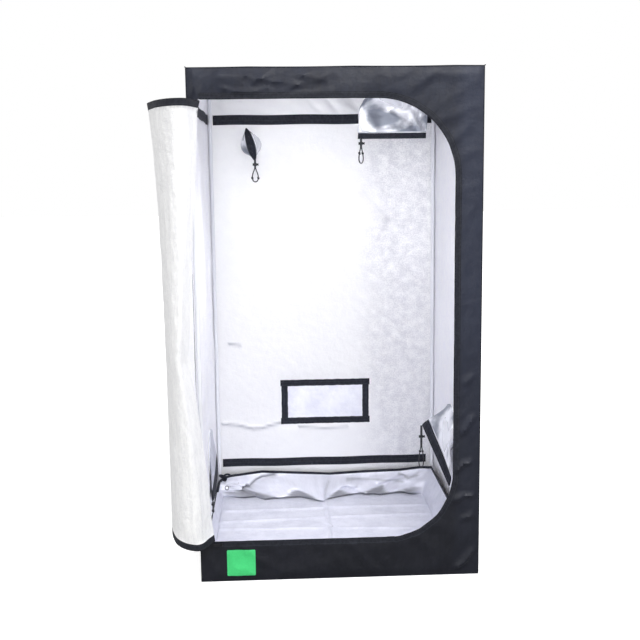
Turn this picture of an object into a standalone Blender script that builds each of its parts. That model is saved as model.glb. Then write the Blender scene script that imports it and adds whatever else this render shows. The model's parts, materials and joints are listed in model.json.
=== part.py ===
"""Indoor grow tent: a steel tube frame in a zipped cloth skin, with its door wrapped round the left side.

Metres, +Z up, +X to the right, +Y from the front into the tent. The origin is the middle of the
underside of the floor.
"""
import math

import bmesh
import bpy
from mathutils import Matrix, Vector

# The fitted skin, outside
WIDTH = 1.000
DEPTH = 1.000
HEIGHT = 1.800
CLOTH = 0.002
GAP = 0.0003
CUT_OVERRUN = 0.010

# Steel frame
TUBE_D = 0.016
TUBE_WALL = 0.0015
CORNER_LIP = 0.002
CORNER_BEVEL = 0.002
SPIGOT_LENGTH = 0.030
SPIGOT_CLEARANCE = 0.0004
TUBE_SIDES = 16
SPIGOT_SIDES = 12

# Hanging bars, with hooked ends over the side top rails
BAR_WIDTH = 0.018
BAR_PLACES = {"front": -0.240, "back": 0.020}
HOOK_START_DEG = -25.0
HOOK_END_DEG = 205.0
HOOK_STEPS = 14
BORE_OVERRUN = 0.00125

# Door opening in the front panel
OPENING_LEFT = 0.050
OPENING_RIGHT = 0.095
OPENING_BOTTOM = 0.150
OPENING_TOP = 0.105
TOP_CORNER_R = 0.265
BOTTOM_CORNER_R = 0.235
CORNER_STEPS = 10
TAPE_WIDTH = 0.022
TAPE_THICKNESS = 0.0012

# Door: its panels from the hinge to the far edge, and the way each one points when it is wrapped
DOOR_CLEARANCE = 0.003
DOOR_PANEL_SHARES = (0.164, 0.200, 0.282, 0.354)
DOOR_HEADINGS_DEG = (-124.0, -241.0, -265.0, -276.0)
DOOR_BOW_SHARE = 0.6
DOOR_START_BOW_DEG = 22.0
DOOR_COLUMNS = 8
DOOR_CORNER_COLUMNS = 12

# Zip slider and its pull
SLIDER_LENGTH = 0.012
SLIDER_HEIGHT = 0.009
SLIDER_THICKNESS = 0.003
SLIDER_FROM_HINGE = 0.022
BRIDGE_LENGTH = 0.008
BRIDGE_RISE = 0.0042
BRIDGE_WALL = 0.0012
BRIDGE_WIDTH = 0.0024
PULL_LENGTH = 0.026
PULL_WIDTH = 0.008
PULL_THICKNESS = 0.0012
PULL_BAR = 0.0014
PULL_EYE_LENGTH = 0.0062
PULL_EYE_WIDTH = 0.0042

# Sewn patch low on the front
PATCH_LEFT = 0.092
PATCH_BOTTOM = 0.020
PATCH_WIDTH = 0.102
PATCH_HEIGHT = 0.097
PATCH_CORNER_R = 0.004
PATCH_CORNER_STEPS = 3
PATCH_THICKNESS = 0.0012

# Vent window low in the back wall
VENT_WIDTH = 0.340
VENT_HEIGHT = 0.147
VENT_Z = 0.4165
BINDING_WIDTH = 0.029
BINDING_THICKNESS = 0.0014
VENT_SEAM = 0.012
FLAP_MARGIN = 0.040

# Round ports and their cloth sleeves
SLEEVE_CLOTH = 0.002
SLEEVE_SIDES = 28
SLEEVE_RINGS = 7
COLLAR = 0.006
PORT_R = 0.090
LOW_PORT_R = 0.095
SMALL_PORT_R = 0.045
MOUTH_HALF_THICK = 0.014
SMALL_MOUTH_HALF_THICK = 0.015
LEFT_MOUTH_HALF_THICK = 0.011
FOLD_COUNT = 5
FOLD_SHARE = 0.05
ROOF_PORT_X = 0.277
ROOF_PORT_Y = 0.250
ROOF_SLEEVE_DROP = 0.213
ROOF_FLAT_SHARE = 0.5
BACK_PORT_X = -0.312
BACK_PORT_Z = 1.572
BACK_SLEEVE_REACH = 0.078
BACK_MOUTH_TILT_DEG = 14.5
SIDE_PORT_Y = 0.060
RIGHT_PORT_Z = 0.400
LEFT_PORT_Y = 0.085
LEFT_PORT_Z = 0.310
RIGHT_MOUTH_IN = 0.0655
RIGHT_MOUTH_FORWARD = 0.015
RIGHT_MOUTH_DROP = 0.1145
RIGHT_MOUTH_LINE = (0.272, -0.673, -0.689)
RIGHT_MOUTH_ACROSS = (-0.289, -0.739, 0.609)
LEFT_MOUTH_DROP = 0.120
LEFT_MOUTH_LINE = (0.0, -0.958, -0.286)

# Drawcords: two strands that hang from the hem, pass the lock and meet in a loop
CORD_D = 0.0024
STRAND_PITCH = 0.0044
CORD_SIDES_RESOLUTION = 2
CORD_STEP_SHARE = 2.6
CORD_LENGTHS = {"roof": 0.100, "back": 0.092, "right": 0.185, "left": 0.041}
CORD_LOOPS = {"roof": 0.018, "back": 0.026, "right": 0.020, "left": 0.013}
CORD_LOOP_SHARES = ((0.35, 0.75), (0.70, 1.00), (0.94, 0.62))
LOCK_DROPS = {"roof": 0.018, "back": 0.018, "right": 0.048, "left": 0.0095}
LOCK_TRAVEL_BELOW = {"roof": 0.012, "back": 0.012, "right": 0.040, "left": 0.002}

# Cord locks and their push buttons
LOCK_D = 0.0110
CHAMBER_D = 0.0082
STEM_CLEARANCE = 0.0003
LOCK_END_WALL = 0.0015
BUTTON_TRAVEL = 0.003
BUTTON_HEAD_D = 0.0105
BUTTON_HEAD_LENGTH = 0.003
CORD_CLEARANCE = 0.0005
LOCK_SIDES = 16

# Floor tray
TRAY_MARGIN = 0.004
TRAY_CORNER_R = 0.060
TRAY_HEIGHT = 0.103
TRAY_RIGHT_RISE = 0.020
TRAY_CLOTH = 0.002
TRAY_LEAN = 0.006
TRAY_SLUMP = 0.010
TRAY_CORNER_STEPS = 5
TRAY_SIDE_STEPS = 12
TRAY_RING_SHARES = (0.0, 0.35, 0.7, 1.0)
TRAY_SLUMP_COUNT = 9
TRAY_RIM_WAVE_COUNT = 5
TRAY_RIM_WAVE = 0.005

# Places that follow from the sizes above
CORNER_SIZE = TUBE_D + 2 * CORNER_LIP
INSET = CLOTH + GAP + CORNER_SIZE / 2
AXIS_X = WIDTH / 2 - INSET
AXIS_Y = DEPTH / 2 - INSET
AXIS_LOW = INSET
AXIS_HIGH = HEIGHT - INSET
INNER_X = WIDTH / 2 - CLOTH
INNER_Y = DEPTH / 2 - CLOTH
DOOR_LEFT_X = -WIDTH / 2 + OPENING_LEFT
OPENING_RIGHT_X = WIDTH / 2 - OPENING_RIGHT
OPENING_TOP_Z = HEIGHT - OPENING_TOP
DOOR_WIDTH = OPENING_RIGHT_X - DOOR_LEFT_X - DOOR_CLEARANCE
FRONT_Y = -DEPTH / 2

for old in list(bpy.data.objects):
    bpy.data.objects.remove(old, do_unlink=True)

PARTS = bpy.data.collections.new("grow_tent")
CUTTERS = bpy.data.collections.new("cutters")
bpy.context.scene.collection.children.link(PARTS)
bpy.context.scene.collection.children.link(CUTTERS)


def make_material(name, colour, roughness, metallic=0.0):
    material = bpy.data.materials.new(name)
    material.use_nodes = True
    shader = material.node_tree.nodes["Principled BSDF"]
    shader.inputs["Base Color"].default_value = (*colour, 1.0)
    shader.inputs["Roughness"].default_value = roughness
    shader.inputs["Metallic"].default_value = metallic
    return material


WHITE_STEEL = make_material("white_steel", (0.80, 0.81, 0.84), 0.35, 0.1)
CORNER_PLASTIC = make_material("corner_plastic", (0.70, 0.71, 0.73), 0.5)
BLACK_CLOTH = make_material("black_cloth", (0.045, 0.048, 0.065), 0.7)
SILVER_CLOTH = make_material("silver_cloth", (0.82, 0.83, 0.88), 0.45)
BLACK_TAPE = make_material("black_tape", (0.025, 0.027, 0.038), 0.8)
PATCH_GREEN = make_material("patch_green", (0.063, 0.672, 0.209), 0.7)
VENT_MESH = make_material("vent_mesh", (0.78, 0.80, 0.88), 0.8)
CORD_BLACK = make_material("cord_black", (0.02, 0.02, 0.024), 0.8)
LOCK_PLASTIC = make_material("lock_plastic", (0.015, 0.015, 0.018), 0.4)
SLIDER_METAL = make_material("slider_metal", (0.03, 0.03, 0.035), 0.35, 0.6)


def add_part(name, data, material, collection=None):
    """One object in the parts' collection, or in the one given."""
    part = bpy.data.objects.new(name, data)
    data.materials.clear()
    data.materials.append(material)
    (collection or PARTS).objects.link(part)
    return part


def add_empty(name, location, turn_z=0.0, parent=None):
    """A pivot that carries a moving piece."""
    empty = bpy.data.objects.new(name, None)
    empty.empty_display_size = TUBE_D
    empty.location = location
    empty.rotation_euler = (0.0, 0.0, turn_z)
    empty.parent = parent
    PARTS.objects.link(empty)
    return empty


def mesh_from(name, bm):
    """Write a bmesh whose faces all point out."""
    bmesh.ops.recalc_face_normals(bm, faces=bm.faces)
    mesh = bpy.data.meshes.new(name)
    bm.to_mesh(mesh)
    bm.free()
    return mesh


def block_mesh(name, size, centre=(0.0, 0.0, 0.0)):
    bm = bmesh.new()
    place = Matrix.Translation(centre) @ Matrix.Diagonal((*size, 1.0))
    bmesh.ops.create_cube(bm, size=1.0, matrix=place)
    return mesh_from(name, bm)


def rod_mesh(name, radius, length, sides, middle=(0.0, 0.0, 0.0), along="Z"):
    """A cylinder about its middle, along X, Y or Z."""
    turn = {
        "X": Matrix.Rotation(math.radians(90.0), 4, "Y"),
        "Y": Matrix.Rotation(math.radians(90.0), 4, "X"),
        "Z": Matrix.Identity(4),
    }[along]
    bm = bmesh.new()
    bmesh.ops.create_cone(
        bm, cap_ends=True, segments=sides, radius1=radius, radius2=radius, depth=length,
        matrix=Matrix.Translation(middle) @ turn,
    )
    return mesh_from(name, bm)


def shade_round(part, angle_deg=35.0):
    part.data.shade_smooth()
    part.data.set_sharp_from_angle(angle=math.radians(angle_deg))


def combine(part, mesh, operation):
    """Join another shape to a part, or cut it out, and keep the result as the part's mesh."""
    tool = add_part(part.name + "_tool", mesh, part.data.materials[0], CUTTERS)
    tool.matrix_world = part.matrix_world
    modifier = part.modifiers.new(operation.lower(), "BOOLEAN")
    modifier.operation = operation
    modifier.solver = "EXACT"
    modifier.object = tool
    bpy.context.view_layer.update()
    shape = part.evaluated_get(bpy.context.evaluated_depsgraph_get())
    done = bpy.data.meshes.new_from_object(shape)
    part.modifiers.clear()
    bpy.data.objects.remove(tool, do_unlink=True)
    part.data = done


def arc(centre, radius, start_deg, end_deg, steps):
    """Points of an arc, both ends included."""
    points = []
    for step in range(steps + 1):
        angle = math.radians(start_deg + (end_deg - start_deg) * step / steps)
        points.append((centre[0] + radius * math.cos(angle), centre[1] + radius * math.sin(angle)))
    return points


def rectangle(left, right, low, high):
    return [(left, low), (right, low), (right, high), (left, high)]


def circle(centre, radius, sides):
    return arc(centre, radius, 0.0, 360.0, sides)[:-1]


PLANE_TURNS = {
    "XY": (0.0, 0.0, 0.0),
    "XZ": (math.radians(90.0), 0.0, 0.0),
    "YZ": (math.radians(90.0), 0.0, math.radians(90.0)),
}
PLANE_NORMALS = {"XY": 2, "XZ": 1, "YZ": 0}


def add_sheet(name, plane, outlines, thickness, level, material):
    """A flat sheet from its outline and its holes, in a main plane, about the level given."""
    curve = bpy.data.curves.new(name, "CURVE")
    curve.dimensions = "2D"
    curve.fill_mode = "BOTH"
    curve.extrude = thickness / 2
    for outline in outlines:
        spline = curve.splines.new("POLY")
        spline.points.add(len(outline) - 1)
        for point, (across, up) in zip(spline.points, outline):
            point.co = (across, up, 0.0, 1.0)
        spline.use_cyclic_u = True
    part = add_part(name, curve, material)
    part.rotation_euler = PLANE_TURNS[plane]
    part.location[PLANE_NORMALS[plane]] = level
    return part


def loft_mesh(name, rings, closed=True, cap_first=True, cap_last=True):
    """Faces between rings that all have as many points, with or without end caps."""
    bm = bmesh.new()
    rows = [[bm.verts.new(point) for point in ring] for ring in rings]
    count = len(rows[0])
    last = count if closed else count - 1
    for low, high in zip(rows, rows[1:]):
        for index in range(last):
            after = (index + 1) % count
            bm.faces.new((low[index], low[after], high[after], high[index]))
    if cap_first:
        bm.faces.new(list(reversed(rows[0])))
    if cap_last:
        bm.faces.new(rows[-1])
    return mesh_from(name, bm)


def solidify(part, thickness, offset, even=True):
    modifier = part.modifiers.new("wall", "SOLIDIFY")
    modifier.thickness = thickness
    modifier.offset = offset
    modifier.use_even_offset = even


def add_tube(name, length, centre, along):
    """A hollow frame tube."""
    bpy.ops.mesh.primitive_cylinder_add(
        vertices=TUBE_SIDES, radius=TUBE_D / 2, depth=length, end_fill_type="NOTHING",
    )
    made = bpy.context.active_object
    mesh = made.data
    bpy.data.objects.remove(made, do_unlink=True)
    mesh.name = name
    part = add_part(name, mesh, WHITE_STEEL)
    part.location = centre
    part.rotation_euler = {
        "X": (0.0, math.radians(90.0), 0.0),
        "Y": (math.radians(90.0), 0.0, 0.0),
        "Z": (0.0, 0.0, 0.0),
    }[along]
    shade_round(part)
    solidify(part, TUBE_WALL, -1.0)


def build_frame():
    """Posts, rails and the corner connectors whose spigots go into them."""
    sides = {"left": -1, "right": 1}
    ends = {"front": -1, "back": 1}
    levels = {"bottom": AXIS_LOW, "top": AXIS_HIGH}
    reach = CORNER_SIZE / 2 + GAP
    middle = (AXIS_LOW + AXIS_HIGH) / 2
    for end, end_sign in ends.items():
        for side, side_sign in sides.items():
            add_tube(
                f"post_{end}_{side}", AXIS_HIGH - AXIS_LOW - 2 * reach,
                (side_sign * AXIS_X, end_sign * AXIS_Y, middle), "Z",
            )
    for level, height in levels.items():
        for end, end_sign in ends.items():
            add_tube(
                f"{level}_rail_{end}", 2 * (AXIS_X - reach), (0.0, end_sign * AXIS_Y, height), "X",
            )
        for side, side_sign in sides.items():
            add_tube(
                f"{level}_rail_{side}", 2 * (AXIS_Y - reach), (side_sign * AXIS_X, 0.0, height), "Y",
            )
    corner_mesh = build_corner_mesh()
    for level, height in levels.items():
        for end, end_sign in ends.items():
            for side, side_sign in sides.items():
                part = add_part(f"corner_{level}_{end}_{side}", corner_mesh, CORNER_PLASTIC)
                up = 1 if level == "bottom" else -1
                part.matrix_world = corner_placing(
                    (side_sign * AXIS_X, end_sign * AXIS_Y, height), -side_sign, -end_sign, up,
                )


def corner_placing(centre, toward_x, toward_y, toward_z):
    """Turn the connector so its spigots point the three ways given."""
    if toward_x * toward_y * toward_z > 0:
        turn = Matrix.Diagonal((toward_x, toward_y, toward_z, 1.0))
    else:
        turn = Matrix((
            (0.0, toward_x, 0.0, 0.0),
            (toward_y, 0.0, 0.0, 0.0),
            (0.0, 0.0, toward_z, 0.0),
            (0.0, 0.0, 0.0, 1.0),
        ))
    return Matrix.Translation(centre) @ turn


def build_corner_mesh():
    """A bevelled block with a spigot along +X, +Y and +Z."""
    size = (CORNER_SIZE, CORNER_SIZE, CORNER_SIZE)
    part = add_part("corner_pattern", block_mesh("corner_pattern", size), CORNER_PLASTIC)
    bevel = part.modifiers.new("rounding", "BEVEL")
    bevel.width = CORNER_BEVEL
    bevel.segments = 1
    radius = TUBE_D / 2 - TUBE_WALL - SPIGOT_CLEARANCE
    length = CORNER_SIZE / 2 + GAP + SPIGOT_LENGTH
    for along, direction in {"X": (1, 0, 0), "Y": (0, 1, 0), "Z": (0, 0, 1)}.items():
        middle = [length / 2 * component for component in direction]
        spigot = rod_mesh("spigot", radius, length, SPIGOT_SIDES, middle, along)
        combine(part, spigot, "UNION")
    mesh = part.data
    bpy.data.objects.remove(part, do_unlink=True)
    mesh.name = "corner_connector"
    return mesh


def build_hanging_bars():
    """Tubes across the tent whose hooked ends lie over the side top rails."""
    inner = TUBE_D / 2 + GAP
    outer = CORNER_SIZE / 2 - GAP / 2
    tube_end = AXIS_X - (inner + outer) / 2
    for end, place in BAR_PLACES.items():
        name = f"hanging_bar_{end}"
        body = rod_mesh(name, TUBE_D / 2, 2 * tube_end, TUBE_SIDES, along="X")
        part = add_part(name, body, WHITE_STEEL)
        for side in (-1, 1):
            hook = hook_mesh(side, inner, outer)
            combine(part, hook, "UNION")
        bore = rod_mesh(
            "bore", TUBE_D / 2 - TUBE_WALL, 2 * (AXIS_X - inner + BORE_OVERRUN), SPIGOT_SIDES, along="X",
        )
        combine(part, bore, "DIFFERENCE")
        shade_round(part)
        part.location = (0.0, place, AXIS_HIGH)


def hook_mesh(side, inner, outer):
    """A ring segment over the rail, as wide along Y as the bar's hook."""
    outline = arc((0.0, 0.0), outer, HOOK_START_DEG, HOOK_END_DEG, HOOK_STEPS)
    outline += arc((0.0, 0.0), inner, HOOK_END_DEG, HOOK_START_DEG, HOOK_STEPS)
    rings = []
    for across in (-BAR_WIDTH / 2, BAR_WIDTH / 2):
        rings.append([(side * AXIS_X + x, across, z) for x, z in outline])
    return loft_mesh("hook", rings)


def opening_outline(grow=0.0):
    """The door opening in X and Z, grown outwards: square at the hinge side, round at the right."""
    left = DOOR_LEFT_X - GAP
    right = OPENING_RIGHT_X + grow
    low = OPENING_BOTTOM - grow
    high = OPENING_TOP_Z + grow
    points = [(left, low)]
    radius = BOTTOM_CORNER_R + grow
    points += arc((right - radius, low + radius), radius, -90.0, 0.0, CORNER_STEPS)
    radius = TOP_CORNER_R + grow
    points += arc((right - radius, high - radius), radius, 0.0, 90.0, CORNER_STEPS)
    points.append((left, high))
    return points


def build_skin():
    """The six panels of the skin."""
    low = CLOTH + GAP
    high = HEIGHT - CLOTH - GAP
    half_x = INNER_X - GAP
    half_y = DEPTH / 2
    middle = CLOTH / 2
    whole = rectangle(-WIDTH / 2, WIDTH / 2, -half_y, half_y)
    hole = circle((ROOF_PORT_X, ROOF_PORT_Y), PORT_R - SLEEVE_CLOTH, SLEEVE_SIDES)
    add_sheet("roof_panel", "XY", [whole, hole], CLOTH, HEIGHT - middle, BLACK_CLOTH)
    add_sheet("floor_panel", "XY", [whole], CLOTH, middle, BLACK_CLOTH)
    side = rectangle(-half_y, half_y, low, high)
    hole = circle((SIDE_PORT_Y, RIGHT_PORT_Z), LOW_PORT_R - SLEEVE_CLOTH, SLEEVE_SIDES)
    add_sheet("right_wall", "YZ", [side, hole], CLOTH, WIDTH / 2 - middle, SILVER_CLOTH)
    hole = circle((LEFT_PORT_Y, LEFT_PORT_Z), LOW_PORT_R - SLEEVE_CLOTH, SLEEVE_SIDES)
    add_sheet("left_wall", "YZ", [side, hole], CLOTH, -WIDTH / 2 + middle, SILVER_CLOTH)
    across = rectangle(-half_x, half_x, low, high)
    hole = circle((BACK_PORT_X, BACK_PORT_Z), SMALL_PORT_R - SLEEVE_CLOTH, SLEEVE_SIDES)
    window = vent_rectangle(VENT_SEAM)
    add_sheet("back_wall", "XZ", [across, hole, window], CLOTH, half_y - middle, SILVER_CLOTH)
    outlines = [across, opening_outline()]
    add_sheet("front_panel", "XZ", outlines, CLOTH, -half_y + middle, BLACK_CLOTH)


def build_front_trim():
    """The zip tape round the opening and the sewn patch."""
    outline = opening_outline(TAPE_WIDTH) + list(reversed(opening_outline()))
    level = FRONT_Y - GAP - TAPE_THICKNESS / 2
    add_sheet("front_zip_tape", "XZ", [outline], TAPE_THICKNESS, level, BLACK_TAPE)
    left = -WIDTH / 2 + PATCH_LEFT
    right = left + PATCH_WIDTH
    high = PATCH_BOTTOM + PATCH_HEIGHT
    radius = PATCH_CORNER_R
    steps = PATCH_CORNER_STEPS
    outline = arc((right - radius, PATCH_BOTTOM + radius), radius, -90.0, 0.0, steps)
    outline += arc((right - radius, high - radius), radius, 0.0, 90.0, steps)
    outline += arc((left + radius, high - radius), radius, 90.0, 180.0, steps)
    outline += arc((left + radius, PATCH_BOTTOM + radius), radius, 180.0, 270.0, steps)
    level = FRONT_Y - GAP - PATCH_THICKNESS / 2
    add_sheet("sewn_patch", "XZ", [outline], PATCH_THICKNESS, level, PATCH_GREEN)


def door_edge_heights(along):
    """Lowest and highest point of the flat door at a distance from its hinge."""
    low = OPENING_BOTTOM + DOOR_CLEARANCE
    high = OPENING_TOP_Z - DOOR_CLEARANCE
    for_corner = []
    for radius in (BOTTOM_CORNER_R, TOP_CORNER_R):
        radius -= DOOR_CLEARANCE
        past = max(0.0, along - (DOOR_WIDTH - radius))
        for_corner.append(radius - math.sqrt(max(0.0, radius * radius - past * past)))
    return low + for_corner[0], high - for_corner[1]


def build_door():
    """Upright panels, each on a pivot at the end of the one before it."""
    pivot = None
    start = 0.0
    headings = [math.radians(heading) for heading in DOOR_HEADINGS_DEG]
    count = len(headings)
    for index, share in enumerate(DOOR_PANEL_SHARES):
        length = share * DOOR_WIDTH
        before = headings[index - 1] if index else 0.0
        place = (pivot["length"], 0.0, 0.0) if pivot else (DOOR_LEFT_X, FRONT_Y - GAP, 0.0)
        empty = add_empty(
            f"door_pivot_{index + 1}", place, headings[index] - before, pivot["empty"] if pivot else None,
        )
        bow_start = math.radians(DOOR_START_BOW_DEG)
        if index:
            bow_start = DOOR_BOW_SHARE * (headings[index - 1] - headings[index]) / 2
        bow_end = 0.0
        if index + 1 < count:
            bow_end = DOOR_BOW_SHARE * (headings[index] - headings[index + 1]) / 2
        columns = DOOR_CORNER_COLUMNS if index + 1 == count else DOOR_COLUMNS
        rings = []
        for column in range(columns + 1):
            share_along = column / columns
            if index + 1 == count:
                share_along = math.sin(math.radians(90.0) * share_along)
            x = GAP + (length - 2 * GAP) * share_along
            s = x / length
            bulge = length * (s * (1 - s) ** 2 * math.tan(bow_start) + s * s * (1 - s) * math.tan(bow_end))
            low, high = door_edge_heights(start + x)
            rings.append([
                (x, bulge, low), (x, bulge + CLOTH, low), (x, bulge + CLOTH, high), (x, bulge, high),
            ])
        name = f"door_panel_{index + 1}"
        part = add_part(name, loft_mesh(name, rings), SILVER_CLOTH)
        part.parent = empty
        shade_round(part)
        pivot = {"empty": empty, "length": length}
        start += length


def build_zip():
    """The slider on the bottom run of the zip tape, and the pull in its bridge."""
    height = OPENING_BOTTOM - TAPE_WIDTH / 2
    place = DOOR_LEFT_X + SLIDER_FROM_HINGE
    face = FRONT_Y - 2 * GAP - TAPE_THICKNESS
    body = block_mesh(
        "zip_slider", (SLIDER_LENGTH, SLIDER_THICKNESS, SLIDER_HEIGHT), (0.0, -SLIDER_THICKNESS / 2, 0.0),
    )
    slider = add_part("zip_slider", body, SLIDER_METAL)
    outside = BRIDGE_LENGTH / 2
    inside = outside - BRIDGE_WALL
    root = -SLIDER_THICKNESS / 2
    crown = -SLIDER_THICKNESS - BRIDGE_RISE
    outline = [
        (-outside, root), (-outside, crown), (outside, crown), (outside, root),
        (inside, root), (inside, crown + BRIDGE_WALL), (-inside, crown + BRIDGE_WALL), (-inside, root),
    ]
    rings = [[(x, y, z) for x, y in outline] for z in (-BRIDGE_WIDTH / 2, BRIDGE_WIDTH / 2)]
    combine(slider, loft_mesh("bridge", rings), "UNION")
    slider.location = (place, face, height)
    axis_y = face - SLIDER_THICKNESS - (BRIDGE_RISE - BRIDGE_WALL) / 2
    pivot = add_empty("zip_pull_pivot", (place, axis_y, height))
    outer = rectangle(-PULL_LENGTH, PULL_BAR / 2, -PULL_WIDTH / 2, PULL_WIDTH / 2)
    eye_end = -PULL_BAR / 2
    eye = rectangle(eye_end - PULL_EYE_LENGTH, eye_end, -PULL_EYE_WIDTH / 2, PULL_EYE_WIDTH / 2)
    pull = add_sheet("zip_pull", "XZ", [outer, eye], PULL_THICKNESS, 0.0, SLIDER_METAL)
    pull.parent = pivot


def vent_rectangle(grow):
    return rectangle(
        -VENT_WIDTH / 2 - grow, VENT_WIDTH / 2 + grow,
        VENT_Z - VENT_HEIGHT / 2 - grow, VENT_Z + VENT_HEIGHT / 2 + grow,
    )


def build_vent():
    """Mesh in the window, its binding inside, and the flap outside that hinges at its top."""
    mesh_level = DEPTH / 2 - CLOTH / 2
    add_sheet("vent_mesh", "XZ", [vent_rectangle(VENT_SEAM - GAP)], CLOTH, mesh_level, VENT_MESH)
    level = INNER_Y - GAP - BINDING_THICKNESS / 2
    outlines = [vent_rectangle(BINDING_WIDTH), vent_rectangle(0.0)]
    add_sheet("vent_binding", "XZ", outlines, BINDING_THICKNESS, level, BLACK_TAPE)
    top = VENT_Z + VENT_HEIGHT / 2 + FLAP_MARGIN
    pivot = add_empty("vent_flap_pivot", (0.0, DEPTH / 2 + GAP + CLOTH, top))
    half = VENT_WIDTH / 2 + FLAP_MARGIN
    outline = rectangle(-half, half, -VENT_HEIGHT - 2 * FLAP_MARGIN, 0.0)
    flap = add_sheet("vent_flap", "XZ", [outline], CLOTH, -CLOTH / 2, BLACK_CLOTH)
    flap.parent = pivot


def sleeve_plans():
    """Where each sleeve starts and how its mouth lies: centres and half axes."""
    flat = math.pi / 2
    wall_x = INNER_X - GAP
    wall_y = INNER_Y - GAP
    tilt = math.radians(BACK_MOUTH_TILT_DEG)
    line = Vector(RIGHT_MOUTH_LINE).normalized()
    across = Vector(RIGHT_MOUTH_ACROSS).normalized()
    left_line = Vector(LEFT_MOUTH_LINE).normalized()
    on_right = Vector((0.0, line.y, line.z)).normalized()
    on_left = Vector((0.0, left_line.y, left_line.z)).normalized()
    right_root = Vector((wall_x, SIDE_PORT_Y, RIGHT_PORT_Z))
    left_root = Vector((-wall_x, LEFT_PORT_Y, LEFT_PORT_Z))
    left_mouth_in = LEFT_MOUTH_HALF_THICK + SLEEVE_CLOTH
    return {
        "roof": {
            "radius": PORT_R, "inward": Vector((0, 0, -1)), "flat_share": ROOF_FLAT_SHARE,
            "root": Vector((ROOF_PORT_X, ROOF_PORT_Y, HEIGHT - CLOTH - GAP)),
            "a": Vector((1, 0, 0)), "b": Vector((0, -1, 0)),
            "mouth": Vector((ROOF_PORT_X, ROOF_PORT_Y, HEIGHT - CLOTH - GAP - ROOF_SLEEVE_DROP)),
            "mouth_a": Vector((flat * PORT_R, 0, 0)),
            "mouth_b": Vector((0, -MOUTH_HALF_THICK, 0)),
        },
        "back": {
            "radius": SMALL_PORT_R, "inward": Vector((0, -1, 0)), "flat_share": 1.0,
            "root": Vector((BACK_PORT_X, wall_y, BACK_PORT_Z)),
            "a": Vector((math.sin(tilt), 0, -math.cos(tilt))),
            "b": Vector((math.cos(tilt), 0, math.sin(tilt))),
            "mouth": Vector((BACK_PORT_X, wall_y - BACK_SLEEVE_REACH, BACK_PORT_Z)),
            "mouth_a": flat * SMALL_PORT_R * Vector((math.sin(tilt), 0, -math.cos(tilt))),
            "mouth_b": SMALL_MOUTH_HALF_THICK * Vector((math.cos(tilt), 0, math.sin(tilt))),
        },
        "right": {
            "radius": LOW_PORT_R, "inward": Vector((-1, 0, 0)), "flat_share": 1.0,
            "root": right_root,
            "a": on_right, "b": on_right.cross(Vector((1, 0, 0))),
            "mouth": right_root - Vector((RIGHT_MOUTH_IN, RIGHT_MOUTH_FORWARD, RIGHT_MOUTH_DROP)),
            "mouth_a": flat * LOW_PORT_R * line,
            "mouth_b": MOUTH_HALF_THICK * across,
        },
        "left": {
            "radius": LOW_PORT_R, "inward": Vector((1, 0, 0)), "flat_share": 1.0,
            "root": left_root,
            "a": on_left, "b": on_left.cross(Vector((1, 0, 0))),
            "mouth": left_root + Vector((left_mouth_in, 0, -LEFT_MOUTH_DROP)),
            "mouth_a": flat * LOW_PORT_R * left_line,
            "mouth_b": Vector((LEFT_MOUTH_HALF_THICK, 0, 0)),
        },
    }


def sleeve_point(plan, along, angle):
    """A point of the sleeve's outer face: along runs from 0 at the port to 1 at the mouth."""
    reached = min(1.0, along / plan["flat_share"])
    ease = reached * reached * (3 - 2 * reached)
    straight = plan["root"] + plan["inward"] * COLLAR
    centre = straight.lerp(plan["mouth"], along)
    half_a = (plan["a"] * plan["radius"]).lerp(plan["mouth_a"], ease)
    half_b = (plan["b"] * plan["radius"]).lerp(plan["mouth_b"], ease)
    fold = 1 + FOLD_SHARE * math.sin(math.pi * along) * math.cos(FOLD_COUNT * angle)
    return centre + fold * (half_a * math.cos(angle) + half_b * math.sin(angle))


def build_sleeves(plans):
    for place, plan in plans.items():
        name = f"duct_sleeve_{place}"
        angles = [math.radians(360.0) * step / SLEEVE_SIDES for step in range(SLEEVE_SIDES)]
        root = [
            plan["root"] + plan["radius"] * (plan["a"] * math.cos(angle) + plan["b"] * math.sin(angle))
            for angle in angles
        ]
        rings = [root]
        for ring in range(SLEEVE_RINGS):
            along = ring / (SLEEVE_RINGS - 1)
            rings.append([sleeve_point(plan, along, angle) for angle in angles])
        mesh = loft_mesh(name, rings, cap_first=False, cap_last=False)
        part = add_part(name, mesh, SILVER_CLOTH)
        shade_round(part, 60.0)
        solidify(part, SLEEVE_CLOTH, -1.0, even=False)


def smooth_route(points, step):
    """A smooth curve through the points, with a point about every step."""
    ends = [points[0] * 2 - points[1], *points, points[-1] * 2 - points[-2]]
    route = [points[0].copy()]
    for p0, p1, p2, p3 in zip(ends, ends[1:], ends[2:], ends[3:]):
        pieces = max(1, round((p2 - p1).length / step))
        for piece in range(1, pieces + 1):
            t = piece / pieces
            route.append(0.5 * (
                2 * p1 + (p2 - p0) * t + (2 * p0 - 5 * p1 + 4 * p2 - p3) * t ** 2
                + (3 * p1 - p0 - 3 * p2 + p3) * t ** 3
            ))
    return route


def cord_start(plan, angle, along):
    """Just clear of the hem, in front of the mouth's edge, for strands side by side along the lock."""
    edge = sleeve_point(plan, 1.0, angle)
    normal = plan["mouth_a"].cross(plan["mouth_b"]).normalized()
    if normal.dot(plan["mouth"] - plan["root"]) < 0:
        normal = -normal
    half_a = plan["mouth_a"]
    half_b = plan["mouth_b"]
    inside = half_a * math.cos(angle) / half_a.length_squared
    inside += half_b * math.sin(angle) / half_b.length_squared
    side_reach = CORD_D / 2 * math.sqrt(max(0.0, 1 - normal.z ** 2))
    clear = side_reach + GAP + abs(along.dot(normal)) * STRAND_PITCH / 2
    return edge - inside.normalized() * SLEEVE_CLOTH / 2 + normal * clear


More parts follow.
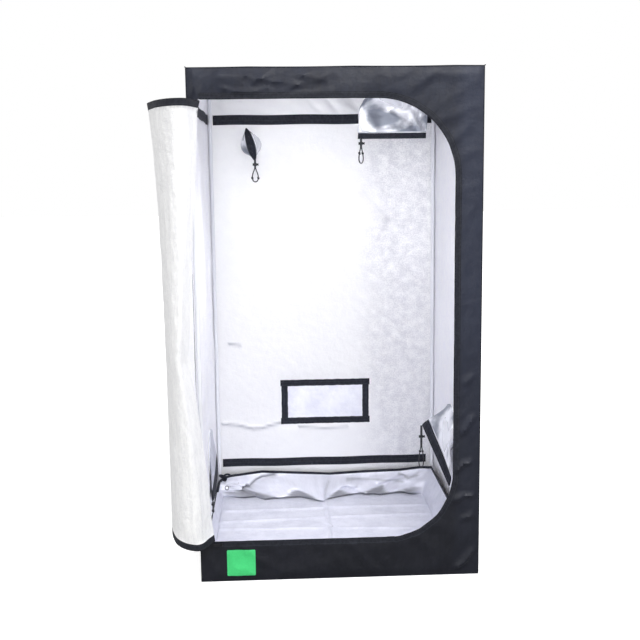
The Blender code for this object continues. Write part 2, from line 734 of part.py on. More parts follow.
def cord_route(place, top, along):
    """Points of one drawcord: down one strand, round the loop and up the other."""
    half_pitch = along * (STRAND_PITCH / 2)
    loop = along * (CORD_LOOPS[place] / 2)
    down = Vector((0.0, 0.0, -1.0))
    straight = LOCK_DROPS[place] + LOCK_D / 2 + LOCK_TRAVEL_BELOW[place]
    rest = CORD_LENGTHS[place] - straight
    one_side = [top + half_pitch]
    one_side.append(top + half_pitch + down * straight / 2)
    one_side.append(top + half_pitch + down * straight)
    for down_share, width_share in CORD_LOOP_SHARES:
        one_side.append(top + loop * width_share + down * (straight + rest * down_share))
    other_side = []
    for point in reversed(one_side):
        offset = point - top
        other_side.append(top + offset - 2 * along * offset.dot(along))
    bottom = top + down * CORD_LENGTHS[place]
    return one_side + [bottom] + other_side


def build_drawcords(plans):
    """Each sleeve's cord, its lock and the lock's button."""
    ways = {
        "roof": (Vector((1, 0, 0)), math.radians(205.0)),
        "back": (Vector((1, 0, 0)), 0.0),
        "right": (Vector((1, 0, 0)), math.radians(180.0)),
        "left": (Vector((0, 1, 0)), 0.0),
    }
    lock_mesh = build_lock_mesh()
    button_mesh = build_button_mesh()
    for place, plan in plans.items():
        along, angle = ways[place]
        top = cord_start(plan, angle, along)
        curve = bpy.data.curves.new(f"drawcord_{place}", "CURVE")
        curve.dimensions = "3D"
        curve.bevel_depth = CORD_D / 2
        curve.bevel_resolution = CORD_SIDES_RESOLUTION
        curve.use_fill_caps = True
        points = smooth_route(cord_route(place, top, along), CORD_D * CORD_STEP_SHARE)
        spline = curve.splines.new("POLY")
        spline.points.add(len(points) - 1)
        for point, location in zip(spline.points, points):
            point.co = (*location, 1.0)
        add_part(f"drawcord_{place}", curve, CORD_BLACK)
        turn = 0.0 if along.x else math.radians(90.0)
        lock_place = top + Vector((0.0, 0.0, -LOCK_DROPS[place]))
        slide = add_empty(f"lock_slide_{place}", lock_place, turn)
        lock = add_part(f"cord_lock_{place}", lock_mesh, LOCK_PLASTIC)
        lock.parent = slide
        button = add_part(f"lock_button_{place}", button_mesh, LOCK_PLASTIC)
        button.parent = slide


def lock_lengths():
    """The lock's own places along its barrel, from the cord's middle."""
    slot = (STRAND_PITCH + CORD_D) / 2 + CORD_CLEARANCE
    open_end = slot + BUTTON_TRAVEL + LOCK_END_WALL
    stem_end = -slot - LOCK_END_WALL
    chamber_end = stem_end - BUTTON_TRAVEL - GAP
    return {
        "slot": slot, "open_end": open_end, "stem_end": stem_end,
        "chamber_end": chamber_end, "closed_end": chamber_end - LOCK_END_WALL,
        "head_start": open_end + BUTTON_TRAVEL + GAP,
    }


def build_lock_mesh():
    """A barrel with a blind chamber for the button and a slot across it for the cord."""
    at = lock_lengths()
    length = at["open_end"] - at["closed_end"]
    middle = ((at["open_end"] + at["closed_end"]) / 2, 0.0, 0.0)
    part = add_part("lock_pattern", rod_mesh("lock", LOCK_D / 2, length, LOCK_SIDES, middle, "X"), LOCK_PLASTIC)
    depth = at["open_end"] - at["chamber_end"] + CUT_OVERRUN
    middle = (at["chamber_end"] + depth / 2, 0.0, 0.0)
    combine(part, rod_mesh("chamber", CHAMBER_D / 2, depth, LOCK_SIDES, middle, "X"), "DIFFERENCE")
    size = (2 * at["slot"], CORD_D + 2 * CORD_CLEARANCE, LOCK_D + CUT_OVERRUN)
    combine(part, block_mesh("slot", size), "DIFFERENCE")
    shade_round(part)
    mesh = part.data
    bpy.data.objects.remove(part, do_unlink=True)
    return mesh


def build_button_mesh():
    """A stem with the cord's slot, long enough for its travel, and a head to press."""
    at = lock_lengths()
    radius = CHAMBER_D / 2 - STEM_CLEARANCE
    length = at["head_start"] - at["stem_end"] + GAP
    middle = (at["stem_end"] + length / 2, 0.0, 0.0)
    stem = rod_mesh("stem", radius, length, LOCK_SIDES, middle, "X")
    part = add_part("button_pattern", stem, LOCK_PLASTIC)
    middle = (at["head_start"] + BUTTON_HEAD_LENGTH / 2, 0.0, 0.0)
    head = rod_mesh("head", BUTTON_HEAD_D / 2, BUTTON_HEAD_LENGTH, LOCK_SIDES, middle, "X")
    combine(part, head, "UNION")
    size = (2 * at["slot"] + BUTTON_TRAVEL, CORD_D + 2 * CORD_CLEARANCE, LOCK_D + CUT_OVERRUN)
    combine(part, block_mesh("slot", size, (BUTTON_TRAVEL / 2, 0.0, 0.0)), "DIFFERENCE")
    shade_round(part)
    mesh = part.data
    bpy.data.objects.remove(part, do_unlink=True)
    return mesh


def tray_outline(half_x, half_y, radius):
    """A rounded rectangle with a set number of points on each side and corner."""
    corners = [(1, 1, 0.0), (-1, 1, 90.0), (-1, -1, 180.0), (1, -1, 270.0)]
    points = []
    for index, (sx, sy, start) in enumerate(corners):
        centre = (sx * (half_x - radius), sy * (half_y - radius))
        corner = arc(centre, radius, start, start + 90.0, TRAY_CORNER_STEPS)
        points += corner
        nx, ny, next_start = corners[(index + 1) % len(corners)]
        next_centre = (nx * (half_x - radius), ny * (half_y - radius))
        following = arc(next_centre, radius, next_start, next_start, 1)[0]
        for step in range(1, TRAY_SIDE_STEPS):
            t = step / TRAY_SIDE_STEPS
            x = corner[-1][0] + (following[0] - corner[-1][0]) * t
            y = corner[-1][1] + (following[1] - corner[-1][1]) * t
            points.append((x, y))
    return points


def build_tray():
    """An open tray of stiff cloth whose sides lean and slump inwards."""
    half_x = AXIS_X - TUBE_D / 2 - TRAY_MARGIN
    half_y = AXIS_Y - TUBE_D / 2 - TRAY_MARGIN
    floor = CLOTH + GAP
    rim = tray_outline(half_x, half_y, TRAY_CORNER_R)
    rings = []
    for share in TRAY_RING_SHARES:
        ring = []
        for index, (x, y) in enumerate(rim):
            turn = math.radians(360.0) * index / len(rim)
            folds = (1 + math.sin(TRAY_SLUMP_COUNT * turn)) / 2
            slump = TRAY_SLUMP * math.sin(math.pi * share) * folds
            lean = TRAY_LEAN * (1 - share) + slump
            x_in = x * (1 - lean / half_x)
            y_in = y * (1 - lean / half_y)
            rise = TRAY_HEIGHT + TRAY_RIGHT_RISE * max(0.0, x / half_x) ** 2
            rise += TRAY_RIM_WAVE * math.sin(TRAY_RIM_WAVE_COUNT * turn)
            ring.append((x_in, y_in, floor + TRAY_CLOTH + (rise - TRAY_CLOTH) * share))
        rings.append(ring)
    mesh = loft_mesh("floor_tray", rings, cap_last=False)
    part = add_part("floor_tray", mesh, SILVER_CLOTH)
    shade_round(part, 50.0)
    solidify(part, TRAY_CLOTH, 1.0)


build_frame()
build_hanging_bars()
build_skin()
build_front_trim()
build_door()
build_zip()
build_vent()
SLEEVES = sleeve_plans()
build_sleeves(SLEEVES)
build_drawcords(SLEEVES)
build_tray()
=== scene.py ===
"""Looks of the indoor grow tent: its cloth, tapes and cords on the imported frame, with light and camera.

Metres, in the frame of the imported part: +X to the right, +Y into the tent, +Z up.
"""
import json
import math

import bmesh
import bpy
import numpy as np
from mathutils import Matrix, Vector, noise


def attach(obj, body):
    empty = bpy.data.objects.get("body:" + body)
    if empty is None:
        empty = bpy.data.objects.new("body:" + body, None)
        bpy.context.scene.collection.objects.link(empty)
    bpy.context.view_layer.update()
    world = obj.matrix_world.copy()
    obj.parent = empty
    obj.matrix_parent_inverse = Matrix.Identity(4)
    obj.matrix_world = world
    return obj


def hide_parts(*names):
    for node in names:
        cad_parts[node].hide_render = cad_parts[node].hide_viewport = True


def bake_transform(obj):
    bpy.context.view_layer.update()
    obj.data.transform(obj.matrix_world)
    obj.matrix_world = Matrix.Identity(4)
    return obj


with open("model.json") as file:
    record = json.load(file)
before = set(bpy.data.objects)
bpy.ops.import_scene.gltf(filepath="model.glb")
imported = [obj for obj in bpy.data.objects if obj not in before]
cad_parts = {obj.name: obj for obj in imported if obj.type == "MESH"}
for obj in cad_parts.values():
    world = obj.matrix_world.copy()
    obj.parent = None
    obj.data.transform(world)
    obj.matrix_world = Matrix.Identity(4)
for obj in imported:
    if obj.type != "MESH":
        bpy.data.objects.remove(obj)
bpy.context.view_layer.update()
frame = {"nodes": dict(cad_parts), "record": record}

# The skin
HALF = 0.500
HEIGHT = 1.800
SKIN = 0.0012
CELL = 0.010
GAP = 0.0003
UPRIGHT = (0.0, HEIGHT)
LYING = (-HALF, HALF)
PIPING_R = 0.0017
PIPING_STEPS = 60
PIPING_SAG = 0.0015
CORNER_POINT = (0.003, 0.003, 0.001)

# Door opening in the front
OPENING_LEFT = -0.4503
OPENING_RIGHT = 0.405
OPENING_LOW = 0.150
OPENING_HIGH = 1.695
TOP_CORNER_R = 0.265
LOW_CORNER_R = 0.235
LOW_CORNER_STEPS = 34
TOP_CORNER_STEPS = 38
CORNER_WAVE = 0.0011
CORNER_WAVE_RATE = 95.0
TAPE_STEP = 0.012
TAPE_WIDTH = 0.022
TAPE_THICKNESS = 0.0011

# Door cloth: control points in plan from the hinge, and how the top and bottom edges differ from them
DOOR_WIDTH = 0.860
DOOR_CLEARANCE = 0.003
DOOR_CLOTH = 0.0014
HEM_WIDTH = 0.024
HEM_LEAST = 0.004
HEM_RAISED = 0.0004
HEM_COLUMNS = 7
DOOR_AT = (0.0, 0.1048, 0.1517, 0.2130, 0.2888, 0.4107, 0.5811, 0.8520)
DOOR_PLAN = (
    (-0.4500, -0.5003), (-0.4824, -0.6000), (-0.5276, -0.6121), (-0.5718, -0.5695),
    (-0.6014, -0.4997), (-0.6246, -0.3801), (-0.6306, -0.2098), (-0.6023, 0.0597),
)
DOOR_TOP_SHIFT = (
    (0.0, 0.0), (-0.003, -0.021), (-0.005, -0.015), (-0.006, -0.008),
    (-0.010, -0.006), (-0.021, 0.0), (-0.020, 0.0), (-0.015, 0.0),
)
DOOR_LOW_SHIFT = (
    (0.0, 0.0), (-0.005, 0.017), (0.006, 0.026), (0.010, 0.017),
    (0.011, 0.007), (0.013, 0.0), (0.014, 0.0), (0.012, 0.0),
)
DOOR_TOP_FADE = 0.27
HINGE_BOW = (
    (0.153, 0.0), (0.231, 0.011), (0.379, 0.021), (0.544, 0.041), (0.688, 0.061), (0.824, 0.085),
    (0.918, 0.075), (1.023, 0.069), (1.194, 0.056), (1.470, 0.031), (1.655, 0.020), (1.692, 0.009),
)
BOW_OUT = 0.85
BOW_FORWARD = 0.26
BOW_REACH = 0.30
DOOR_CUTS = (0.0, 0.088, 0.225, 0.430, 0.700, 0.860)
DOOR_PANELS = 4
DOOR_COLUMN = 0.007
DOOR_ROWS = 116
DOOR_HEM_ROWS = 3
BEND_HEIGHT = 0.9
DOOR_BENDS = ((0.090, 0.215), (0.255, 0.400), (0.470, 0.640))

# Ports: middle in their wall's own across and up, radius, and steps round the drawn circle
PORTS = {
    "roof": ((0.277, 0.250), 0.090, 64),
    "back": ((0.312, 1.572), 0.045, 48),
    "right": ((0.060, 0.400), 0.095, 64),
    "left": ((-0.085, 0.310), 0.095, 64),
}
PORT_TUCK = 0.001
PORT_CALM = 0.07
COLLAR_WIDTH = 0.016
COLLAR_STEPS = 72

# Sleeves, by port: the lie of each mouth as in the part's source, then the cloth's own wrinkles
SLEEVE_CLOTH = 0.0014
SLEEVE_SIDES = 96
SLEEVE_INSET = 0.0023
SLEEVE_COLLAR = 0.006
FOLD_COUNT = 5
FOLD_SHARE = 0.05
BACK_SLEEVE_TILT_DEG = 14.5
RIGHT_MOUTH_LINE = (0.272, -0.673, -0.689)
RIGHT_MOUTH_ACROSS = (-0.289, -0.739, 0.609)
LEFT_MOUTH_LINE = (0.0, -0.958, -0.286)
MOUTH_HALF_DEPTHS = {"roof": 0.014, "back": 0.015, "right": 0.014, "left": 0.011}
MOUTH_OFFSETS = {
    "roof": (0.0, 0.0, -0.213), "back": (0.0, -0.078, 0.0), "right": (-0.0655, -0.015, -0.1145),
    "left": (0.013, 0.0, -0.120),
}
FLAT_SHARES = {"roof": 0.5, "back": 1.0, "right": 1.0, "left": 1.0}
HEM_SHARES = {"roof": 0.11, "back": 0.22, "right": 0.27, "left": 0.34}
HEM_ROWS = 5
HEM_TAPE = 0.023
SLEEVE_HEM_RAISED = 0.0003
SLEEVE_ROWS = 34
CRUMPLES = {"roof": 0.0100, "back": 0.0030, "right": 0.0028, "left": 0.0005}
PLEAT_COUNT = 14
PLEAT_DEPTH = 0.003
PLEAT_SHARES = (0.75, 0.5, 0.28, 0.12, 0.004)

# Drawcords, by port: start, ways and lengths as in the part's source, then how they are drawn
CORD_D = 0.0024
STRAND_PITCH = 0.0044
CORD_STEP = 0.00624
CORD_WAYS = {
    "roof": ((1.0, 0.0, 0.0), 205.0), "back": ((1.0, 0.0, 0.0), 0.0), "right": ((1.0, 0.0, 0.0), 180.0),
    "left": ((0.0, 1.0, 0.0), 0.0),
}
CORD_LENGTHS = {"roof": 0.100, "back": 0.092, "right": 0.185, "left": 0.041}
CORD_LOOPS = {"roof": 0.018, "back": 0.026, "right": 0.020, "left": 0.013}
STRAIGHT_LENGTHS = {"roof": 0.0355, "back": 0.0355, "right": 0.0935, "left": 0.0170}
CORD_DRAWN_D = 0.0048
STRAND_PAUSE = 0.012
CORD_LOOP_SHARES = ((0.35, 0.75), (0.60, 0.98), (0.80, 0.94), (0.93, 0.66))
KNOT_SHARES = {"roof": 0.30, "back": 0.36, "right": 0.30, "left": 0.42}
KNOT_R = 0.0030
KNOT_HALF_HEIGHT = 0.0036
KNOT_ANGLE = 3.4 * math.pi
KNOT_STEPS = 28

# Vent window
VENT_HALF_WIDTH = 0.170
VENT_LOW = 0.343
VENT_HIGH = 0.490
VENT_MIDDLE = (VENT_LOW + VENT_HIGH) / 2
VENT_HALF_HEIGHT = (VENT_HIGH - VENT_LOW) / 2
MESH_MARGIN = 0.011
MESH_CLOTH = 0.0005
MESH_GRID = (61, 31)
BINDING_WIDTH = 0.029
BINDING_OVERRUN = 0.004
BINDING_CLOTH = 0.00072
BINDING_JAG = 0.0014
BINDING_STEPS = 50
FLAP_TOP = 0.530
FLAP_HALF_WIDTH = 0.210
FLAP_HEIGHT = 0.227
FLAP_CLOTH = 0.0012
FLAP_GRID = (71, 41)
FLAP_EDGE = 3

# Bands sewn to the inside of the walls
BAND_THICKNESS = 0.0012
BAND_WAVE = 0.0010
BAND_WAVE_RATE = 21.0
BAND_COLUMNS = 7
UPPER_BAND = (1.658, 1.700)
LOWER_BAND = (0.118, 0.155)
BANDS = (
    ("back", "upper", -0.484, 0.484, UPPER_BAND), ("back", "lower", -0.463, 0.480, LOWER_BAND),
    ("left", "upper", -0.484, 0.484, UPPER_BAND), ("right", "upper", -0.484, 0.484, UPPER_BAND),
)

# Creases sewn or pressed into the walls: a bent line in across and up, then its width and depth
FRONT_CREASES = (
    (((-0.473, 1.737), (-0.450, 1.770), (-0.434, 1.780)), 0.006, 0.0066),
    (((-0.430, 1.734), (-0.417, 1.754), (-0.391, 1.774)), 0.006, 0.0066),
    (((-0.384, 1.734), (-0.344, 1.720), (-0.291, 1.714), (-0.225, 1.730)), 0.006, 0.0080),
    (((-0.305, 1.770), (-0.252, 1.760), (-0.185, 1.747), (-0.126, 1.744)), 0.006, 0.0080),
    (((-0.278, 1.747), (-0.238, 1.774), (-0.225, 1.780)), 0.006, 0.0066),
    (((-0.185, 1.720), (-0.132, 1.740), (-0.093, 1.747)), 0.006, 0.0066),
    (((-0.119, 1.774), (-0.079, 1.760), (-0.026, 1.754)), 0.006, 0.0066),
    (((-0.079, 1.740), (-0.053, 1.760), (-0.033, 1.770)), 0.006, 0.0054),
    (((0.446, 0.705), (0.468, 0.735)), 0.007, 0.010),
    (((0.440, 0.530), (0.458, 0.560), (0.475, 0.585)), 0.008, 0.013),
    (((0.418, 0.393), (0.440, 0.415), (0.466, 0.425)), 0.007, 0.012),
    (((0.412, 0.283), (0.446, 0.300), (0.476, 0.297)), 0.007, 0.012),
    (((0.440, 0.210), (0.476, 0.226)), 0.007, 0.010),
    (((0.425, 0.030), (0.450, 0.050), (0.478, 0.090)), 0.008, 0.012),
)
BACK_CREASES = (
    (
        ((0.47, 0.320), (0.40, 0.314), (0.33, 0.296), (0.295, 0.298), (0.24, 0.314), (0.20, 0.322)),
        0.006, 0.006,
    ),
    (((0.12, 0.299), (0.0, 0.292), (-0.10, 0.296)), 0.005, 0.003),
    (((0.43, 0.690), (0.38, 0.684)), 0.005, 0.003),
    (((-0.17, 1.36), (-0.23, 1.29), (-0.28, 1.24)), 0.008, 0.006),
    (((-0.28, 1.24), (-0.24, 1.16)), 0.008, 0.005),
    (((-0.28, 1.24), (-0.36, 1.21)), 0.008, 0.005),
)
# The back creases that also get painted shade.
SHADED_CREASES = BACK_CREASES[:3]
CREASE_SHADE = 0.7
LEFT_CREASES = (
    (((0.10, 0.50), (0.13, 1.10), (0.20, 1.66)), 0.014, 0.009),
    (((0.28, 0.62), (0.24, 1.05), (0.26, 1.50)), 0.014, 0.009),
    (((-0.22, 0.55), (-0.20, 1.62)), 0.014, 0.009),
)
SHADE_NAME = "fold_shade"

# Sewn patch
PATCH_LEFT = -0.408
PATCH_LOW = 0.020
PATCH_WIDTH = 0.102
PATCH_HEIGHT = 0.097
PATCH_CORNER_R = 0.004
PATCH_CLOTH = 0.0008
PATCH_SWELL = 0.0008
PATCH_GRID = (27, 26)
STITCH_DEPTH = 0.0004
STITCH_INSET = 0.0035
STITCH_HALF_WIDTH = 0.0006

# Floor tray: its folds are a bent line in across and height, a width, and a depth or a share of shade
TRAY_HALF = 0.4757
TRAY_CORNER_R = 0.060
TRAY_CLOTH = 0.0014
TRAY_FLOOR = 0.0035
TRAY_RIM = 0.012
TRAY_BINDING = 0.0012
TRAY_COLUMNS = 480
TRAY_FLOOR_ROWS = 38
TRAY_SIDE_ROWS = 18
TRAY_SLUMP = 0.004
TRAY_SLUMP_RIGHT = 0.040
TRAY_SLUMP_BACK = 0.08
TRAY_SLUMP_ROUNDS = 4
TRAY_SIDE_HEIGHT = 0.080
TRAY_RISE_RIGHT = 0.032
TRAY_DROP_LEFT = 0.020
TRAY_FOOT = (
    (-0.4757, 0.43), (-0.42, 0.40), (-0.323, 0.392), (-0.295, 0.349), (-0.21, 0.372), (-0.125, 0.376),
    (-0.038, 0.315), (0.05, 0.365), (0.149, 0.409), (0.24, 0.375), (0.332, 0.408), (0.40, 0.385),
    (0.4757, 0.40),
)
TRAY_WALL = 0.10
TRAY_FOLDS = (
    (((-0.42, 0.030), (-0.24, 0.090)), 0.014, -0.030),
    (((-0.295, 0.004), (-0.18, 0.045), (-0.038, 0.004)), 0.016, 0.030),
    (((-0.038, 0.004), (0.10, 0.060), (0.24, 0.010)), 0.016, 0.030),
    (((-0.038, 0.004), (-0.02, 0.085)), 0.012, 0.020),
    (((0.24, 0.010), (0.36, 0.070)), 0.014, -0.024),
)
TRAY_LEAN = 0.018
TRAY_SHADE = (
    (-0.46, 0.40), (-0.40, 0.34), (-0.28, 0.10), (-0.16, 0.40), (-0.04, 0.08), (0.06, 0.36),
    (0.15, 0.10), (0.28, 0.38), (0.36, 0.12), (0.46, 0.30),
)
TRAY_SHADED_FOLDS = (
    (((-0.43, 0.030), (-0.33, 0.075), (-0.24, 0.092)), 0.010, 0.9),
    (((0.10, 0.075), (0.26, 0.062), (0.38, 0.045)), 0.006, 0.5),
    (((0.34, 0.085), (0.40, 0.060), (0.44, 0.070)), 0.006, 0.6),
    (((-0.02, 0.020), (0.01, 0.070)), 0.006, 0.4),
)
TRAY_BACK_RIM = (
    (-0.4757, 0.073), (-0.395, 0.080), (-0.295, 0.092), (-0.121, 0.082), (0.016, 0.074), (0.154, 0.080),
    (0.339, 0.084), (0.455, 0.096),
)
TRAY_FLOOR_LINES = ((0.10, 0.02), (-0.03, -0.03), (-0.17, 0.03), (-0.30, -0.02), (0.22, 0.01))
TIE_KNOT = (-0.462, 0.424, 0.092)
TIE_TAIL = ((-0.470, 0.420, 0.088), (-0.484, 0.390, 0.084), (-0.482, 0.340, 0.090), (-0.486, 0.280, 0.074))
TIE_R = 0.0046
RING_AT = (-0.452, 0.392, 0.052)
RING_R = 0.0016

# Camera and light
CAMERA_AT = (-0.2127, -3.8295, 1.4538)
CAMERA_YAW_DEG = 2.56
CAMERA_PITCH_DEG = 8.69
CAMERA_ROLL_DEG = -0.70
CAMERA_LENS = 54.67
CAMERA_SENSOR = 36.0
CAMERA_CLIP = 0.05
AMBIENT_LOW = 0.55
AMBIENT_HIGH = 1.10
FLOOR_REACH = 30.0
FLOOR_GLOW = 0.6
FLOOR_BOUNCE = 0.35
FLOOR_SEEN = 0.92

# Lamps: place, target, size and power, and whether the camera passes over the disk
LAMPS = {
    "key": ((0.9, -2.5, 3.5), (0.0, 0.0, 1.3), 1.5, 64.0, False),
    "fill": ((-0.5, -3.9, 1.5), (0.0, 0.4, 0.9), 1.2, 20.0, False),
    "side": ((-3.4, -1.6, 1.6), (-0.6, -0.3, 0.9), 1.5, 14.0, False),
    "inner_top": ((0.0, -0.43, 1.77), (0.0, 0.5, 1.72), 0.10, 0.7, True),
    "inner_right": ((0.44, -0.44, 1.25), (-0.5, 0.12, 1.0), 0.12, 1.9, True),
    "inner_left": ((-0.44, -0.44, 1.25), (0.5, 0.12, 1.0), 0.12, 1.9, True),
}

# Looks: the painted highlight strip along the black cloth's right edge, and the tape's stitches and ribs
PAINTED_HIGHLIGHT_SHARE = 0.30
PAINTED_HIGHLIGHT_GAIN = 2.2
STITCHES_ACROSS = (0.005, 0.018)
TAPE_RIB = 0.0018


def new_material(name, roughness, specular=0.5, metallic=0.0):
    material = bpy.data.materials.new(name)
    material.use_nodes = True
    shader = material.node_tree.nodes["Principled BSDF"]
    for key, value in (("Roughness", roughness), ("Metallic", metallic), ("Specular IOR Level", specular)):
        shader.inputs[key].default_value = value
    return material, material.node_tree, shader


def add_node(tree, kind, inputs, **settings):
    """The outputs of a new shader node, with its settings made and its inputs set or linked."""
    made = tree.nodes.new("ShaderNode" + kind)
    for key, value in settings.items():
        setattr(made, key, value)
    for key, value in inputs.items():
        if isinstance(value, bpy.types.NodeSocket):
            tree.links.new(value, made.inputs[key])
        else:
            made.inputs[key].default_value = value
    return made.outputs


def math_node(tree, operation, first, second=0.0, third=0.0):
    return add_node(tree, "Math", {0: first, 1: second, 2: third}, operation=operation)[0]


def times(tree, first, second):
    return math_node(tree, "MULTIPLY", first, second)


def cloth_place(tree, own_uv=True):
    """Where on the cloth a point is, in metres."""
    return add_node(tree, "TexCoord", {})["UV" if own_uv else "Object"]


def split_xyz(tree, vector):
    return add_node(tree, "SeparateXYZ", {"Vector": vector})


def noise_value(tree, place, scale, detail=3.0, rough=0.5, stretch=(1.0, 1.0, 1.0)):
    """Soft noise from 0 to 1, with a scale in features a metre."""
    stretched = add_node(tree, "Mapping", {"Vector": place, "Scale": stretch})[0]
    inputs = {"Vector": stretched, "Scale": scale, "Detail": detail, "Roughness": rough}
    return add_node(tree, "TexNoise", inputs)[0]


def ramp_between(tree, value, low, high, out_low=0.0, out_high=1.0):
    inputs = {"Value": value, "From Min": low, "From Max": high, "To Min": out_low, "To Max": out_high}
    return add_node(tree, "MapRange", inputs, interpolation_type="SMOOTHSTEP")[0]


def colour_mix(tree, share, first, second):
    """A colour between two, linked by a share from 0 to 1."""
    made = tree.nodes.new("ShaderNodeMix")
    made.data_type = "RGBA"
    tree.links.new(share, made.inputs[0])
    for socket, value in ((made.inputs[6], first), (made.inputs[7], second)):
        if isinstance(value, bpy.types.NodeSocket):
            tree.links.new(value, socket)
        else:
            socket.default_value = (*value, 1.0)
    return made.outputs[2]


def wave_value(tree, place, pitch, direction):
    """Stripes from 0 to 1, one to a pitch."""
    inputs = {"Vector": place, "Scale": math.pi / (10 * pitch)}
    return add_node(tree, "TexWave", inputs, wave_type="BANDS", bands_direction=direction)["Fac"]


def weave_height(tree, place, pitch):
    """A plain weave: threads over and under each other at the pitch given."""
    return times(tree, wave_value(tree, place, pitch, "X"), wave_value(tree, place, pitch, "Y"))


def stitch_rows(tree, rows, pitch, share):
    """1 on the stitches of two rows: for each, how far a point is from the row, and how far along it."""
    found = []
    for off, along in rows:
        near = math_node(tree, "LESS_THAN", math_node(tree, "ABSOLUTE", off), STITCH_HALF_WIDTH)
        step = math_node(tree, "FRACT", math_node(tree, "DIVIDE", along, pitch))
        found.append(times(tree, near, math_node(tree, "LESS_THAN", step, share)))
    return math_node(tree, "MAXIMUM", *found)


def link_look(tree, shader, colour, bumps, rough=None):
    """Link a colour, bumps one on another as pairs of a height and its depth in metres, and a roughness."""
    tree.links.new(colour, shader.inputs["Base Color"])
    if rough is not None:
        tree.links.new(rough, shader.inputs["Roughness"])
    normal = None
    for height, depth in bumps:
        inputs = {"Height": height, "Distance": depth, "Strength": 1.0}
        if normal is not None:
            inputs["Normal"] = normal
        normal = add_node(tree, "Bump", inputs)[0]
    tree.links.new(normal, shader.inputs["Normal"])


def coated_cloth(name, dark, light, painted_sheen, roughness):
    """Black coated oxford cloth: fine weave, faint scuffs, and a painted slate sheen that grows with height.

    On the front's outer face a strip along the right edge is paler still, a painted highlight.
    """
    material, tree, shader = new_material(name, roughness, 0.30)
    place = cloth_place(tree)
    spot = split_xyz(tree, cloth_place(tree, own_uv=False))
    cloudy = noise_value(tree, place, 5.0, 5.0, 0.6)
    scuffs = noise_value(tree, place, 60.0, 4.0, 0.65, (1.0, 0.35, 1.0))
    share = math_node(tree, "MULTIPLY_ADD", scuffs, 0.4, times(tree, cloudy, 0.6))
    spread = ramp_between(tree, share, 0.25, 0.75)
    low_colour = colour_mix(tree, spread, dark, light)
    painted_lit_colour = colour_mix(tree, spread, light, painted_sheen)
    # Painted sheen: the colour grows paler with height, standing in for light from above.
    colour = colour_mix(tree, ramp_between(tree, spot[2], 0.02, 1.25), low_colour, painted_lit_colour)
    # Painted highlight: a paler strip along the front's right edge, stronger higher up.
    near_edge = ramp_between(tree, spot[0], 0.39, 0.45, 0.0, PAINTED_HIGHLIGHT_SHARE)
    outside = ramp_between(tree, spot[1], -0.492, -0.486, 1.0, 0.0)
    raised = ramp_between(tree, spot[2], 0.1, 1.0, 0.3, 1.0)
    strip = times(tree, times(tree, near_edge, outside), raised)
    pale = tuple(channel * PAINTED_HIGHLIGHT_GAIN for channel in painted_sheen)
    bumps = [
        (noise_value(tree, place, 14.0, 6.0, 0.62), 0.004), (noise_value(tree, place, 120.0, 3.0), 0.0004),
        (weave_height(tree, place, 0.0016), 0.0002),
    ]
    rough = ramp_between(tree, scuffs, 0.3, 0.7, roughness - 0.08, roughness + 0.10)
    link_look(tree, shader, colour_mix(tree, strip, colour, pale), bumps, rough)
    return material


def silver_lining(name, light, grey, crinkle, mottle, roughness, metallic=0.0, painted_shade_side=None,
                  edges=(0.40, 0.66), grain_share=0.45, detail=5.0, stretch=(1.0, 1.0, 1.0), shaded=None):
    """Reflective lining: bright, finely crinkled foil on cloth, greyer in its mottled parts.

    Between the two places given, the greyer mottling can fade out across the wall and stay on one side as
    painted shade and reflection of crinkled foil; shaded is the colour of painted shade in its folds.
    """
    material, tree, shader = new_material(name, roughness, metallic=metallic)
    place = cloth_place(tree)
    blots = noise_value(tree, place, mottle, detail, 0.7, stretch)
    grain = noise_value(tree, place, mottle * 7, 2.0, 0.5, stretch)
    share = math_node(tree, "MULTIPLY_ADD", grain, grain_share, times(tree, blots, 1 - grain_share))
    spread = ramp_between(tree, share, *edges)
    # Painted shade and reflection: the greyer mottling can be held to one side of the wall.
    if painted_shade_side:
        waver = noise_value(tree, place, 3.0, 4.0)
        edge = math_node(tree, "MULTIPLY_ADD", waver, 0.28, split_xyz(tree, place)[0])
        spread = times(tree, spread, ramp_between(tree, edge, *painted_shade_side, 1.0, 0.10))
    colour = colour_mix(tree, spread, light, grey)
    if shaded:
        in_fold = add_node(tree, "Attribute", {}, attribute_name=SHADE_NAME)["Fac"]
        colour = colour_mix(tree, in_fold, colour, shaded)
    cells = add_node(tree, "TexVoronoi", {"Vector": place, "Scale": 210.0, "Randomness": 1.0}, feature="F1")
    bumps = [
        (noise_value(tree, place, 22.0, 6.0, 0.6), crinkle * 3), (cells["Distance"], crinkle * 0.35),
        (weave_height(tree, place, 0.0022), 0.0001),
    ]
    rough = ramp_between(tree, blots, 0.3, 0.7, roughness - 0.08, roughness + 0.12)
    link_look(tree, shader, colour, bumps, rough)
    return material


def woven_tape(name, colour, light, coil=False):
    """Black woven tape with a row of stitches along each edge. Across it UV runs from 0 at one edge."""
    material, tree, shader = new_material(name, 0.62, 0.22)
    place = cloth_place(tree)
    parts = split_xyz(tree, place)
    rows = [(math_node(tree, "SUBTRACT", parts[1], across), parts[0]) for across in STITCHES_ACROSS]
    stitch = stitch_rows(tree, rows, 0.0042, 0.72)
    fuzz = ramp_between(tree, noise_value(tree, place, 90.0, 4.0, 0.6), 0.35, 0.7)
    base = colour_mix(tree, fuzz, colour, light)
    bumps = [
        (noise_value(tree, place, 25.0, 4.0), 0.0016),
        (wave_value(tree, place, TAPE_RIB, "DIAGONAL"), 0.00018), (stitch, 0.0004),
    ]
    if coil:
        near_edge = math_node(tree, "LESS_THAN", parts[1], 0.0045)
        bumps.append((times(tree, wave_value(tree, place, TAPE_RIB, "X"), near_edge), 0.0009))
    link_look(tree, shader, colour_mix(tree, stitch, base, (0.04, 0.042, 0.052)), bumps)
    return material


